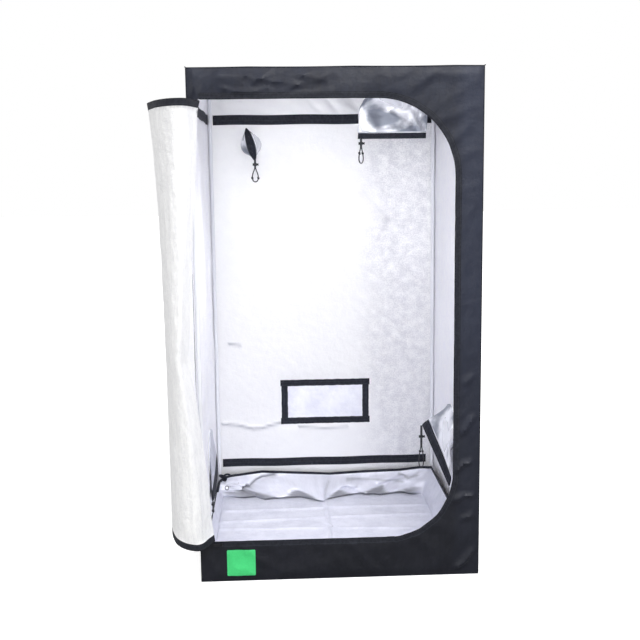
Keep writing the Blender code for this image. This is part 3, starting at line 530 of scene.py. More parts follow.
def patch_cloth(name, colour, thread):
    """Plain woven patch with a stitched border. UV is 0 at its lower left corner."""
    material, tree, shader = new_material(name, 0.6, 0.35)
    place = cloth_place(tree)
    parts = split_xyz(tree, place)
    rows = []
    for axis, size in ((0, PATCH_WIDTH), (1, PATCH_HEIGHT)):
        centred = math_node(tree, "ABSOLUTE", math_node(tree, "SUBTRACT", parts[axis], size / 2))
        rows.append((math_node(tree, "SUBTRACT", centred, size / 2 - STITCH_INSET), parts[1 - axis]))
    stitch = stitch_rows(tree, rows, 0.004, 0.7)
    deep = tuple(channel * 0.94 for channel in colour)
    fuzz = ramp_between(tree, noise_value(tree, place, 160.0, 3.0), 0.3, 0.7)
    bumps = [
        (noise_value(tree, place, 30.0, 3.0), 0.0015), (weave_height(tree, place, 0.0011), 0.0003),
        (stitch, 0.0004),
    ]
    link_look(tree, shader, colour_mix(tree, stitch, colour_mix(tree, fuzz, deep, colour), thread), bumps)
    return material


def vent_cloth(name):
    """Fine pale mesh over the closed flap: a grid of threads with a cloudy shade behind."""
    material, tree, shader = new_material(name, 0.7, 0.3)
    place = cloth_place(tree)
    holes = weave_height(tree, place, 0.0024)
    clouds = noise_value(tree, place, 7.0, 4.0, 0.6)
    base = colour_mix(tree, ramp_between(tree, clouds, 0.35, 0.65), (0.90, 0.91, 0.97), (0.74, 0.75, 0.86))
    colour = colour_mix(tree, ramp_between(tree, holes, 0.2, 0.8), base, (0.95, 0.95, 0.99))
    bumps = [(clouds, 0.012), (noise_value(tree, place, 40.0, 4.0), 0.002), (holes, 0.0003)]
    link_look(tree, shader, colour, bumps)
    return material


def powder_coat(name, colour, roughness, metallic=0.0, grain=900.0, depth=0.00012):
    """Powder-coated steel or moulded plastic: fine orange peel and faint handling marks."""
    material, tree, shader = new_material(name, roughness, metallic=metallic)
    place = cloth_place(tree, own_uv=False)
    marks = noise_value(tree, place, 18.0, 6.0, 0.7, (1.0, 1.0, 0.15))
    worn = tuple(channel * 0.86 for channel in colour)
    marked = colour_mix(tree, ramp_between(tree, marks, 0.52, 0.72), colour, worn)
    rough = ramp_between(tree, marks, 0.3, 0.7, roughness, roughness + 0.15)
    link_look(tree, shader, marked, [(noise_value(tree, place, grain, 2.0), depth)], rough)
    return material


def braided_cord(name):
    material, tree, shader = new_material(name, 0.75, 0.3)
    shader.inputs["Sheen Weight"].default_value = 0.2
    twist = wave_value(tree, cloth_place(tree, own_uv=False), 0.0016, "DIAGONAL")
    colour = colour_mix(tree, twist, (0.012, 0.012, 0.016), (0.05, 0.05, 0.06))
    link_look(tree, shader, colour, [(twist, 0.0003)])
    return material


# Its third colour is the painted sheen high up; brightened, it is also the painted highlight strip.
BLACK = coated_cloth(
    "black_cloth_look", (0.004, 0.005, 0.009), (0.011, 0.012, 0.020), (0.019, 0.023, 0.040), 0.36,
)
SILVER = silver_lining("silver_lining_look", (0.97, 0.97, 1.0), (0.90, 0.90, 0.97), 0.0006, 26.0, 0.42, 0.35)
# Back wall lining: a dimmer copy of the silver lining, painted shade, with painted shade in its mottling and
# creases.
SILVER_BACK = silver_lining(
    "silver_back_look", (0.91, 0.91, 0.92), (0.68, 0.68, 0.72), 0.0009, 24.0, 0.44, 0.30, (-0.16, 0.02),
    edges=(0.34, 0.66), shaded=(0.30, 0.31, 0.36),
)
SILVER_DOOR = silver_lining(
    "silver_door_look", (0.95, 0.95, 0.95), (0.80, 0.80, 0.82), 0.0022, 60.0, 0.38, stretch=(1.0, 0.18, 1.0),
)
# Its large dark grey blots are painted crumple shade and reflection on the foil.
SILVER_SLEEVE = silver_lining(
    "silver_sleeve_look", (0.90, 0.91, 0.95), (0.24, 0.26, 0.31), 0.0010, 6.0, 0.30, 0.5,
    edges=(0.46, 0.55), grain_share=0.08, detail=1.6,
)
# Its shaded colour is painted shade on the tray's folds.
SILVER_TRAY = silver_lining(
    "silver_tray_look", (0.80, 0.81, 0.90), (0.70, 0.71, 0.80), 0.0010, 9.0, 0.40, 0.3,
    grain_share=0.12, shaded=(0.17, 0.175, 0.195),
)
# A darker copy of the silver lining for the left sleeve: painted shade.
SILVER_PAINTED_SHADE = silver_lining(
    "silver_painted_shade_look", (0.60, 0.61, 0.69), (0.46, 0.47, 0.54), 0.0006, 12.0, 0.5, 0.2,
)
TAPE = woven_tape("black_tape_look", (0.012, 0.0135, 0.021), (0.024, 0.026, 0.037))
ZIP_TAPE = woven_tape("zip_tape_look", (0.012, 0.0135, 0.020), (0.022, 0.024, 0.034), coil=True)
PATCH = patch_cloth("green_patch_look", (0.072, 0.755, 0.238), (0.11, 0.85, 0.30))
MESH = vent_cloth("vent_mesh_look")
STEEL = powder_coat("white_steel_look", (0.80, 0.81, 0.86), 0.35)
CORNER = powder_coat("corner_plastic_look", (0.70, 0.71, 0.73), 0.5, grain=500.0)
LOCK = powder_coat("lock_plastic_look", (0.015, 0.015, 0.018), 0.38, 0.0, 1200.0, 0.00005)
SLIDER = powder_coat("slider_metal_look", (0.03, 0.03, 0.035), 0.32, 0.7, 1500.0, 0.00003)
CORD = braided_cord("cord_look")


def smooth(value):
    """Ease from 0 to 1, flat at both ends."""
    held = np.clip(value, 0.0, 1.0)
    return held * held * (3 - 2 * held)


def unit(vector):
    return np.asarray(vector, float) / np.linalg.norm(vector)


def directions(path):
    """Unit vectors along a path, one at each of its points."""
    run = np.gradient(path, axis=0)
    return run / np.maximum(np.linalg.norm(run, axis=1, keepdims=True), 1e-9)


def lengths_along(path):
    """How far along a path each of its points lies."""
    steps = np.linalg.norm(np.diff(path, axis=0), axis=1)
    return np.concatenate([[0.0], np.cumsum(steps)])


def curve_between(p0, p1, p2, p3, t):
    """A point between the middle two of four, on a smooth curve through them."""
    squared = (2 * p0 - 5 * p1 + 4 * p2 - p3) * t ** 2
    cubed = (3 * p1 - p0 - 3 * p2 + p3) * t ** 3
    return 0.5 * (2 * p1 + (p2 - p0) * t + squared + cubed)


def field(a, b, seed, size, angle_deg=0.0, stretch=1.0):
    """Soft noise from about -1 to 1 over a cloth, in features of a size, drawn out at an angle."""
    turn = math.radians(angle_deg)
    along = (a * math.cos(turn) + b * math.sin(turn)) / (size * stretch)
    across = (b * math.cos(turn) - a * math.sin(turn)) / size
    flat = [noise.noise((p, q, seed)) for p, q in zip(along.ravel(), across.ravel())]
    return np.array(flat).reshape(a.shape)


def folds(a, b, seed, size, angle_deg=0.0, stretch=1.0):
    """Sharp crests between soft troughs, from 0 to 1."""
    return 1 - np.minimum(1.0, 2.4 * np.abs(field(a, b, seed, size, angle_deg, stretch)))


def crease(a, b, line, width):
    """1 on a bent line, fading away from it."""
    nearest = np.full(a.shape, 1e3)
    for (a0, b0), (a1, b1) in zip(line, line[1:]):
        da, db = a1 - a0, b1 - b0
        share = np.clip(((a - a0) * da + (b - b0) * db) / (da * da + db * db), 0.0, 1.0)
        nearest = np.minimum(nearest, np.hypot(a - a0 - share * da, b - b0 - share * db))
    return np.exp(-(nearest / width) ** 2)


def creased(a, b, creases):
    """All creases of a list together, each by its depth."""
    return sum(depth * crease(a, b, line, width) for line, width, depth in creases)


def grid_normals(grid, ring):
    if ring:
        across = np.roll(grid, -1, axis=1) - np.roll(grid, 1, axis=1)
    else:
        across = np.gradient(grid, axis=1)
    normals = np.cross(across, np.gradient(grid, axis=0))
    return normals / np.maximum(np.linalg.norm(normals, axis=2, keepdims=True), 1e-12)


def grid_uv(a, b):
    return np.stack([a, b], axis=2)


def facing(grid, uv, wanted):
    """The grid, turned round if its outer face looks away from the direction wanted."""
    looks = (grid_normals(grid, False) * np.asarray(wanted, float)).sum()
    if looks < 0:
        return grid[:, ::-1].copy(), uv[:, ::-1].copy()
    return grid, uv


def new_object(name, data):
    made = bpy.data.objects.new(name, data)
    bpy.context.scene.collection.objects.link(made)
    return made


def new_mesh(name, points, faces, corners, materials, slots=None):
    """A mesh with its materials, a slot for each face and UV for each face corner."""
    mesh = bpy.data.meshes.new(name)
    mesh.from_pydata([tuple(point) for point in points], [], faces)
    if slots:
        mesh.polygons.foreach_set("material_index", slots)
    layer = mesh.uv_layers.new(name="UVMap")
    layer.data.foreach_set("uv", np.array(corners, np.float32).ravel())
    for material in materials:
        mesh.materials.append(material)
    mesh.update()
    return mesh


def turn_outward(maker, mesh):
    """Let the faces of a BMesh look outward, and end it in a mesh."""
    bmesh.ops.recalc_face_normals(maker, faces=maker.faces)
    maker.to_mesh(mesh)
    maker.free()


def lined(r, c):
    """Slot 0 outside and slot 1 inside, all over a sheet."""
    return 0, 1


def sheet_mesh(name, grid, uv, thickness, materials, pick=lined, ring=False):
    """A thin closed shell whose outer face is the grid. Pick gives the outer and inner slot of a cell.

    The columns cross the rows so that the outer face looks along columns x rows. UV has one more
    column than the grid where it closes in a ring.
    """
    rows, cols = grid.shape[:2]
    thick = np.broadcast_to(np.asarray(thickness, float), (rows, cols))[..., None]
    inner = grid - grid_normals(grid, ring) * thick
    points = np.concatenate([grid.reshape(-1, 3), inner.reshape(-1, 3)])
    count = rows * cols
    faces, slots, corners, edges = [], [], [], []
    last = cols if ring else cols - 1
    for r in range(rows - 1):
        for c in range(last):
            a, b = r * cols + c, r * cols + (c + 1) % cols
            d, e = a + cols, b + cols
            own = [uv[r, c], uv[r, c + 1], uv[r + 1, c + 1], uv[r + 1, c]]
            faces += [(a, b, e, d), (a + count, d + count, e + count, b + count)]
            slots += pick(r, c)
            corners += own + [own[0], own[3], own[2], own[1]]
    low = (rows - 1) * cols
    for c in range(last):
        after = (c + 1) % cols
        edges.append((after, c, uv[0, c + 1], uv[0, c], 0, c))
        edges.append((low + c, low + after, uv[-1, c], uv[-1, c + 1], rows - 2, c))
    if not ring:
        for r in range(rows - 1):
            start, end = r * cols, (r + 1) * cols
            edges.append((start, end, uv[r, 0], uv[r + 1, 0], r, 0))
            edges.append((end + last, start + last, uv[r + 1, -1], uv[r, -1], r, last - 1))
    for first, second, uv_first, uv_second, r, c in edges:
        faces.append((first, second, second + count, first + count))
        slots.append(pick(r, c)[0])
        corners += [uv_first, uv_second, uv_second, uv_first]
    return new_mesh(name, points, faces, corners, materials, slots)


def tube_mesh(name, paths, radius, material, sides=8):
    """Round tubes along paths of points, all in one mesh."""
    points, faces, corners = [], [], []
    for path in paths:
        path = np.array(path, float)
        lengths = lengths_along(path)
        first = len(points)
        for centre, way in zip(path, directions(path)):
            u = unit(np.cross(way, (0.0, 0.0, 1.0) if abs(way[2]) < 0.8 else (1.0, 0.0, 0.0)))
            v = np.cross(way, u)
            for side in range(sides):
                angle = 2 * math.pi * side / sides
                points.append(centre + radius * (math.cos(angle) * u + math.sin(angle) * v))
        for r in range(len(path) - 1):
            for c in range(sides):
                a, b = first + r * sides + c, first + r * sides + (c + 1) % sides
                faces.append((a, b, b + sides, a + sides))
                start, end, low, high = lengths[r], lengths[r + 1], c * radius, (c + 1) * radius
                corners += [(start, low), (start, high), (end, high), (end, low)]
        final = first + (len(path) - 1) * sides
        faces += [tuple(range(first + sides - 1, first - 1, -1)), tuple(range(final, final + sides))]
        corners += [(0.0, 0.0)] * (2 * sides)
    mesh = new_mesh(name, points, faces, corners, [material])
    maker = bmesh.new()
    maker.from_mesh(mesh)
    turn_outward(maker, mesh)
    return mesh


def write_shade(mesh, values):
    """Store at each point how much painted shade its fold gets, for the lining's material."""
    layer = mesh.attributes.new(SHADE_NAME, "FLOAT", "POINT")
    layer.data.foreach_set("value", np.asarray(values, np.float32))


def sharpen_borders(mesh):
    """Shade no face across an edge where the material changes."""
    slots = {}
    for polygon in mesh.polygons:
        for key in polygon.edge_keys:
            slots.setdefault(key, set()).add(polygon.material_index)
    for edge in mesh.edges:
        if len(slots.get(edge.key, ())) > 1:
            edge.use_edge_sharp = True


def add_piece(name, data, body, nodes=(), angle_deg=50.0):
    """A piece of the object, on its body and in place of its CAD nodes. Pieces given no body stay
    unattached.
    """
    piece = new_object(name, data)
    if isinstance(data, bpy.types.Mesh):
        data.shade_smooth()
        data.set_sharp_from_angle(angle=math.radians(angle_deg))
        sharpen_borders(data)
    if body:
        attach(piece, body)
    if nodes:
        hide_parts(*nodes)
    return piece


class Wall:
    """One side of the skin: how far it goes up, and where a point lies, given its place across and up."""

    def __init__(self, origin, across, up, span, push, slide=None, lean=None):
        self.origin = np.array(origin, float)
        self.across = np.array(across, float)
        self.up = np.array(up, float)
        self.out = np.cross(self.across, self.up)
        self.span = span
        self.push = push
        self.slide = slide
        self.lean = lean

    def flat(self, a, b, above=0.0):
        """A point above the uncreased outer face."""
        a, b = np.asarray(a, float)[..., None], np.asarray(b, float)[..., None]
        return self.origin + a * self.across + b * self.up + above * self.out

    def place(self, a, b, above):
        """A point above the creased outer face."""
        height = (above + self.push(a, b))[..., None]
        out = self.out if self.lean is None else self.lean(a, b)
        points = self.flat(a, b) + height * out
        return points if self.slide is None else points + self.slide(a, b)


def edge_mask(a, b, span, reach=0.05):
    """0 on the edges of a wall and 1 away from them."""
    inside = np.minimum(np.minimum(a + HALF, HALF - a), np.minimum(b - span[0], span[1] - b))
    return smooth(inside / reach)


def port_mask(a, b, place):
    """0 at a port and 1 away from it."""
    centre, radius, _ = PORTS[place]
    return smooth((np.hypot(a - centre[0], b - centre[1]) - radius - 0.008) / PORT_CALM)


def front_push(a, b):
    """The front's wrinkles: slanting ones high and low, fewer on the taut strip at the right."""
    taut = 1 - 0.6 * smooth((a - 0.15) / 0.25)
    pulls = 0.0045 * field(a, b, 3.1, 0.20)
    pulls += 0.0080 * taut * folds(a, b, 7.7, 0.085, 38.0, 3.2) * smooth((b - 0.9) / 0.6)
    pulls += 0.0060 * taut * folds(a, b, 1.9, 0.075, 18.0, 3.0) * smooth((b - 1.45) / 0.25)
    pulls += creased(a, b, FRONT_CREASES)
    pulls += 0.0045 * folds(a, b, 5.3, 0.070, -48.0, 3.0) * smooth((0.6 - b) / 0.4)
    pulls += 0.0020 * folds(a, b, 9.4, 0.035, 60.0, 2.0)
    calm = 1 - 0.75 * smooth(1 - np.abs(b - OPENING_LOW) / 0.03) * (a < 0.2)
    return np.maximum(pulls * calm, -SKIN) * edge_mask(a, b, UPRIGHT, 0.03)


def hinge_bow(z):
    """How far the hinge line has swung out at a height, 0 at its ends."""
    return np.interp(z, *zip(*HINGE_BOW))


def front_slide(a, b):
    """The strip between the corner and the hinge swings out with the door's cloth."""
    share = np.clip((a + HALF) / (OPENING_LEFT + HALF), 0.0, 1.0)
    bow = hinge_bow(b) * np.where(a <= OPENING_LEFT + GAP, share, 0.0)
    return np.stack([-BOW_OUT * bow, -BOW_FORWARD * bow, np.zeros_like(bow)], axis=-1)


def front_lean(a, b):
    """The way the front's outer face looks: the strip by the hinge turns with its bow."""
    bow = hinge_bow(b)
    run_x = OPENING_LEFT + HALF - BOW_OUT * bow
    run_y = -BOW_FORWARD * bow
    length = np.hypot(run_x, run_y)
    turned = np.stack([run_y / length, -run_x / length, np.zeros_like(bow)], axis=-1)
    return np.where((a <= OPENING_LEFT + GAP)[..., None], turned, (0.0, -1.0, 0.0))


def back_push(a, b):
    """The back wall's wrinkles: a hollow, soft waves, and sharper folds at the right and under the roof."""
    right = smooth((-a - 0.08) / 0.12)
    pulls = -0.0040 * smooth(np.minimum(HALF - np.abs(a), 0.3) / 0.3)
    pulls = pulls + 0.0030 * field(a, b, 2.2, 0.18)
    pulls += (0.0004 + 0.0014 * right) * folds(a, b, 4.1, 0.050, 25.0, 2.5)
    pulls += 0.0008 * right * folds(a, b, 6.6, 0.022, -50.0, 2.0)
    pulls += 0.0075 * smooth((b - 1.69) / 0.04) * folds(a, b, 8.3, 0.060, 40.0, 3.0)
    pulls -= creased(a, b, BACK_CREASES)
    masks = edge_mask(a, b, UPRIGHT, 0.04) * port_mask(a, b, "back")
    vent = np.maximum(np.abs(a) - VENT_HALF_WIDTH, np.abs(b - VENT_MIDDLE) - VENT_HALF_HEIGHT)
    return pulls * masks * smooth((vent - 0.005) / 0.06)


def left_push(a, b):
    """The left wall's wrinkles: long upright flutes below its band, towards the front."""
    flutes = 0.0110 * field(a, b, 5.5, 0.075, 90.0, 12.0) * smooth((a + 0.30) / 0.3)
    flutes = (flutes - creased(a, b, LEFT_CREASES)) * smooth((1.64 - b) / 0.15)
    flutes = flutes + 0.0030 * field(a, b, 1.2, 0.20) + 0.0020 * folds(a, b, 8.8, 0.055, 80.0, 3.0)
    return (flutes - 0.003) * edge_mask(a, b, UPRIGHT) * port_mask(a, b, "left")


def right_push(a, b):
    pulls = -0.003 + 0.0035 * field(a, b, 6.5, 0.20) + 0.0022 * folds(a, b, 3.8, 0.06, 50.0, 3.0)
    return pulls * edge_mask(a, b, UPRIGHT) * port_mask(a, b, "right")


def roof_push(a, b):
    pulls = -0.002 + 0.0030 * field(a, b, 7.5, 0.18) + 0.0030 * folds(a, b, 2.8, 0.07, 35.0, 2.5)
    return np.maximum(pulls, -0.003) * edge_mask(a, b, LYING) * port_mask(a, b, "roof")


def floor_push(a, b):
    return np.minimum(0.0, 0.0006 * field(a, b, 4.5, 0.1)) * edge_mask(a, b, LYING)


WALLS = {
    "front": Wall((0, -HALF, 0), (1, 0, 0), (0, 0, 1), UPRIGHT, front_push, front_slide, front_lean),
    "back": Wall((0, HALF, 0), (-1, 0, 0), (0, 0, 1), UPRIGHT, back_push),
    "left": Wall((-HALF, 0, 0), (0, -1, 0), (0, 0, 1), UPRIGHT, left_push),
    "right": Wall((HALF, 0, 0), (0, 1, 0), (0, 0, 1), UPRIGHT, right_push),
    "roof": Wall((0, 0, HEIGHT), (1, 0, 0), (0, 1, 0), LYING, roof_push),
    "floor": Wall((0, 0, 0), (1, 0, 0), (0, -1, 0), LYING, floor_push),
}


def arc(centre, radius, start_deg, end_deg, steps):
    angles = np.radians(np.linspace(start_deg, end_deg, steps + 1))
    return [(centre[0] + radius * math.cos(t), centre[1] + radius * math.sin(t)) for t in angles]


def port_hole(place):
    """The hole for a port, a little smaller than the port."""
    centre, radius, steps = PORTS[place]
    return arc(centre, radius - PORT_TUCK, 0.0, 360.0, steps)[:-1]


def opening_path():
    """The opening's edge in X and Z, from the bottom of the hinge side round to its top."""
    right, low, high, step = OPENING_RIGHT, OPENING_LOW, OPENING_HIGH, TAPE_STEP
    r1, r2 = LOW_CORNER_R, TOP_CORNER_R
    points = [(x, low) for x in np.arange(OPENING_LEFT, right - r1 - step / 2, step)]
    for x, z in arc((right - r1, low + r1), r1, -90.0, 0.0, LOW_CORNER_STEPS):
        wave = CORNER_WAVE * math.sin(x * CORNER_WAVE_RATE) * min(1.0, max(0.0, (right - x) / 0.05))
        points.append((x + wave, z - wave))
    points += [(right, z) for z in np.arange(low + r1 + step, high - r2 - step / 2, step)]
    points += arc((right - r2, high - r2), r2, 0.0, 90.0, TOP_CORNER_STEPS)
    points += [(x, high) for x in np.arange(right - r2 - step, OPENING_LEFT + step / 2, -step)]
    points.append((OPENING_LEFT, high))
    return points


def cut_out(mesh, wall, outline, depth=0.03):
    """Cut a hole with the outline given, in the wall's own across and up, through its flat cloth."""
    maker = bmesh.new()
    rings = [[maker.verts.new(wall.flat(a, b, above)) for a, b in outline] for above in (-depth, depth)]
    for index in range(len(outline)):
        after = (index + 1) % len(outline)
        maker.faces.new((rings[0][index], rings[0][after], rings[1][after], rings[1][index]))
    maker.faces.new(list(reversed(rings[0])))
    maker.faces.new(rings[1])
    cutter_mesh = bpy.data.meshes.new("cutter")
    turn_outward(maker, cutter_mesh)
    cutter_mesh.materials.append(mesh.materials[0])
    cutter, blank = new_object("cutter", cutter_mesh), new_object("blank", mesh)
    modifier = blank.modifiers.new("hole", "BOOLEAN")
    modifier.operation = "DIFFERENCE"
    modifier.solver = "EXACT"
    modifier.object = cutter
    bpy.context.view_layer.update()
    done = bpy.data.meshes.new_from_object(blank.evaluated_get(bpy.context.evaluated_depsgraph_get()))
    for used in (cutter, blank):
        bpy.data.objects.remove(used, do_unlink=True)
    return done


def skin_panel(place, holes, inside, node):
    """A wall of the skin, black outside and lined inside, cut flat and then creased."""
    wall = WALLS[place]
    low, high = wall.span
    across = np.linspace(-HALF, HALF, round(2 * HALF / CELL) + 1)
    a, b = np.meshgrid(across, np.linspace(low, high, round((high - low) / CELL) + 1))
    name = f"{place}_cloth"
    mesh = sheet_mesh(name, wall.flat(a, b), grid_uv(a, b), SKIN, [BLACK, inside])
    for outline in holes:
        mesh = cut_out(mesh, wall, outline)
    points = np.array([vertex.co for vertex in mesh.vertices]) - wall.origin
    moved = wall.place(points @ wall.across, points @ wall.up, points @ wall.out)
    mesh.vertices.foreach_set("co", moved.astype(np.float32).ravel())
    mesh.update()
    piece = add_piece(name, mesh, "tent", [node])
    return moved, mesh


def build_skin():
    """The six walls, with the opening, the ports and the vent window cut out."""
    wide = VENT_HALF_WIDTH
    vent = [(-wide, VENT_LOW), (wide, VENT_LOW), (wide, VENT_HIGH), (-wide, VENT_HIGH)]
    skin_panel("front", [opening_path()], SILVER, "front_panel")
    points, mesh = skin_panel("back", [port_hole("back"), vent], SILVER_BACK, "back_wall")
    # Painted shade along the first three back creases.
    shades = [crease(-points[:, 0], points[:, 2], line, width) for line, width, _ in SHADED_CREASES]
    write_shade(mesh, CREASE_SHADE * np.max(shades, axis=0))
    skin_panel("left", [port_hole("left")], SILVER, "left_wall")
    skin_panel("right", [port_hole("right")], SILVER, "right_wall")
    skin_panel("roof", [port_hole("roof")], SILVER, "roof_panel")
    skin_panel("floor", [], SILVER, "floor_panel")


def build_camera():
    yaw, pitch, roll = (math.radians(v) for v in (CAMERA_YAW_DEG, CAMERA_PITCH_DEG, CAMERA_ROLL_DEG))
    ahead = Vector((math.sin(yaw) * math.cos(pitch), math.cos(yaw) * math.cos(pitch), -math.sin(pitch)))
    level = Vector((math.cos(yaw), -math.sin(yaw), 0.0))
    right = level * math.cos(roll) + level.cross(ahead) * math.sin(roll)
    turn = Matrix((right, right.cross(ahead), -ahead)).transposed().to_4x4()
    camera = new_object("camera", bpy.data.cameras.new("camera"))
    camera.data.lens = CAMERA_LENS
    camera.data.sensor_width = CAMERA_SENSOR
    camera.data.sensor_fit = "HORIZONTAL"
    camera.data.clip_start = CAMERA_CLIP
    camera.matrix_world = Matrix.Translation(CAMERA_AT) @ turn
    bpy.context.scene.camera = camera


def seen_share(tree):
    """1 for camera and transmission rays, else 0."""
    path = add_node(tree, "LightPath", {})
    return math_node(tree, "MAXIMUM", path["Is Camera Ray"], path["Is Transmission Ray"])


def build_lamps():
    """Soft disks: three outside, and three small ones inside that the camera passes over."""
    for name, (place, target, size, power, unseen) in LAMPS.items():
        light = bpy.data.lights.new(name, "AREA")
        light.shape = "DISK"
        light.size = size
        light.energy = power
        lamp = new_object(name, light)
        lamp.visible_camera = not unseen
        lamp.location = place
        lamp.rotation_euler = (Vector(target) - Vector(place)).to_track_quat("-Z", "Y").to_euler()


def build_stage():
    """White surroundings and a pale floor that keeps the shadow."""
    scene = bpy.context.scene
    scene.view_settings.view_transform = "Standard"
    world = bpy.data.worlds.new("studio")
    scene.world = world
    world.use_nodes = True
    tree = world.node_tree
    background = tree.nodes["Background"]
    background.inputs["Color"].default_value = (1.0, 1.0, 1.0, 1.0)
    upward = split_xyz(tree, add_node(tree, "TexCoord", {})["Generated"])[2]
    sky = ramp_between(tree, upward, -0.35, 0.75, AMBIENT_LOW, AMBIENT_HIGH)
    strength = add_node(tree, "Mix", {0: seen_share(tree), 2: sky, 3: 1.0}, data_type="FLOAT")[0]
    tree.links.new(strength, background.inputs["Strength"])
    material, tree, shader = new_material("studio_floor", 0.8, 0.2)
    shader.inputs["Emission Color"].default_value = (1.0, 1.0, 1.0, 1.0)
    seen = seen_share(tree)
    pale = colour_mix(tree, seen, (FLOOR_BOUNCE,) * 3, (FLOOR_SEEN,) * 3)
    tree.links.new(pale, shader.inputs["Base Color"])
    tree.links.new(times(tree, seen, FLOOR_GLOW), shader.inputs["Emission Strength"])
    mesh = bpy.data.meshes.new("studio_floor")
    corners = [(x * FLOOR_REACH, y * FLOOR_REACH, -GAP) for x, y in ((-1, -1), (1, -1), (1, 1), (-1, 1))]
    mesh.from_pydata(corners, [], [(0, 1, 2, 3)])
    mesh.materials.append(material)
    new_object("studio_floor", mesh)


def dress_frame():
    """The steel, plastic and metal nodes keep their shapes and get their finishes."""
    looks = {
        "white_steel": STEEL, "corner_plastic": CORNER, "lock_plastic": LOCK, "slider_metal": SLIDER,
    }
    for entry in frame["record"]["subparts"]:
        look = looks.get(entry["material_slot"])
        if look is not None:
            for slot in frame["nodes"][entry["node"]].material_slots:
                slot.material = look


def sew_tape(name, place, path, side, width, above, thickness, inward=False, columns=5, nodes=(),
             material=TAPE):
    """A flat tape that follows a wall's creases, from a path in the wall's across and up to one side."""
    wall = WALLS[place]
    path, side = np.array(path, float), np.array(side, float)
    offsets = np.linspace(0.0, 1.0, columns) * width
    flat = path[:, None, :] + side[:, None, :] * offsets[None, :, None]
    grid = wall.place(flat[..., 0], flat[..., 1], above)
    uv = grid_uv(*np.broadcast_arrays(lengths_along(path)[:, None], offsets[None, :]))
    grid, uv = facing(grid, uv, -wall.out if inward else wall.out)
    mesh = sheet_mesh(name, grid, uv, thickness, [material, material])
    return add_piece(name, mesh, "tent", nodes)


def build_front_trim():
    """Zip tape round the opening, and the patch."""
    path = opening_path()
    run = directions(path)
    side = np.stack([run[:, 1], -run[:, 0]], axis=1)
    tape = sew_tape(
        "zip_tape", "front", path, side, TAPE_WIDTH, GAP + TAPE_THICKNESS, TAPE_THICKNESS,
        nodes=["front_zip_tape"], material=ZIP_TAPE,
    )
    columns, rows = PATCH_GRID
    a, b = np.meshgrid(np.linspace(0.0, PATCH_WIDTH, columns), np.linspace(0.0, PATCH_HEIGHT, rows))
    in_a = np.maximum(PATCH_CORNER_R - np.minimum(a, PATCH_WIDTH - a), 0.0)
    in_b = np.maximum(PATCH_CORNER_R - np.minimum(b, PATCH_HEIGHT - b), 0.0)
    pull = np.maximum(np.hypot(in_a, in_b) - PATCH_CORNER_R, 0.0) * 0.7
    a = a + np.sign(PATCH_WIDTH / 2 - a) * pull
    b = b + np.sign(PATCH_HEIGHT / 2 - b) * pull
    edge = np.minimum(np.minimum(a, PATCH_WIDTH - a), np.minimum(b, PATCH_HEIGHT - b))
    seam = np.exp(-((edge - STITCH_INSET) / (2 * STITCH_HALF_WIDTH)) ** 2)
    swell = PATCH_SWELL * smooth(edge / 0.006) - STITCH_DEPTH * seam
    grid = WALLS["front"].place(a + PATCH_LEFT, b + PATCH_LOW, PATCH_CLOTH + swell)
    mesh = sheet_mesh("patch", grid, grid_uv(a, b), PATCH_CLOTH + swell - GAP, [PATCH, PATCH])
    add_piece("patch", mesh, "tent", ["sewn_patch"])


def build_piping():
    """Thin piping in the seams along the tent's twelve edges, with small points at the top corners."""
    paths = []
    low, high = PIPING_R, HEIGHT - SKIN + PIPING_R
    reach = HALF - SKIN + PIPING_R
    run = np.linspace(-reach, reach, PIPING_STEPS)
    still = np.ones(PIPING_STEPS)
    for x in (-reach, reach):
        for y in (-reach, reach):
            paths.append(np.stack([x * still, y * still, np.linspace(low, high, PIPING_STEPS)], axis=1))
    for z in (low, high):
        for fixed in (-reach, reach):
            height = z - np.abs(PIPING_SAG * np.sin(run * 9.0 + fixed) * (z > low))
            paths.append(np.stack([run, fixed * still, height], axis=1))
            paths.append(np.stack([fixed * still, run, height], axis=1))
    for x in (-1, 1):
        for y in (-1, 1):
            start = np.array([x * reach, y * reach, high])
            tip = start + np.array([x, y, 1.0]) * np.array(CORNER_POINT)
            paths.append(np.stack([start, (start + tip) / 2, tip]))
    add_piece("edge_piping", tube_mesh("edge_piping", paths, PIPING_R, TAPE), "tent", ())


def door_heights(u, shrink=0.0):
    """Lowest and highest point of the flat door at a distance from its hinge, or of an outline inside it."""
    low = OPENING_LOW + DOOR_CLEARANCE + shrink
    high = OPENING_HIGH - DOOR_CLEARANCE - shrink
    ends = []
    for radius in (LOW_CORNER_R - DOOR_CLEARANCE, TOP_CORNER_R - DOOR_CLEARANCE):
        past = np.clip(u - (DOOR_WIDTH - radius), 0.0, radius - shrink)
        ends.append((radius - shrink) - np.sqrt((radius - shrink) ** 2 - past ** 2))
    return low + ends[0], high - ends[1]


def door_point(u, z):
    """The door's black face at rest: a distance from the hinge, and a height."""
    at = np.array(DOOR_AT)
    top_share = np.exp(-(OPENING_HIGH - z) / DOOR_TOP_FADE)[..., None, None]
    plan = np.array(DOOR_PLAN) + np.array(DOOR_LOW_SHIFT) * (1 - top_share)
    plan = plan + np.array(DOOR_TOP_SHIFT) * top_share
    bow = hinge_bow(z)[..., None] * (1 - smooth(at / BOW_REACH))
    plan = plan - bow[..., None] * np.array([BOW_OUT, BOW_FORWARD])
    first = 2 * plan[..., :1, :] - plan[..., 1:2, :]
    last = 2 * plan[..., -1:, :] - plan[..., -2:-1, :]
    knots = np.concatenate([first, plan, last], axis=-2)
    place = np.clip(np.searchsorted(at, u, side="right") - 1, 0, len(at) - 2)
    t = ((u - at[place]) / (at[place + 1] - at[place]))[..., None]
    near = (np.take_along_axis(knots, (place + k)[..., None, None], axis=-2)[..., 0, :] for k in range(4))
    return np.concatenate([curve_between(*near, t), z[..., None]], axis=-1)


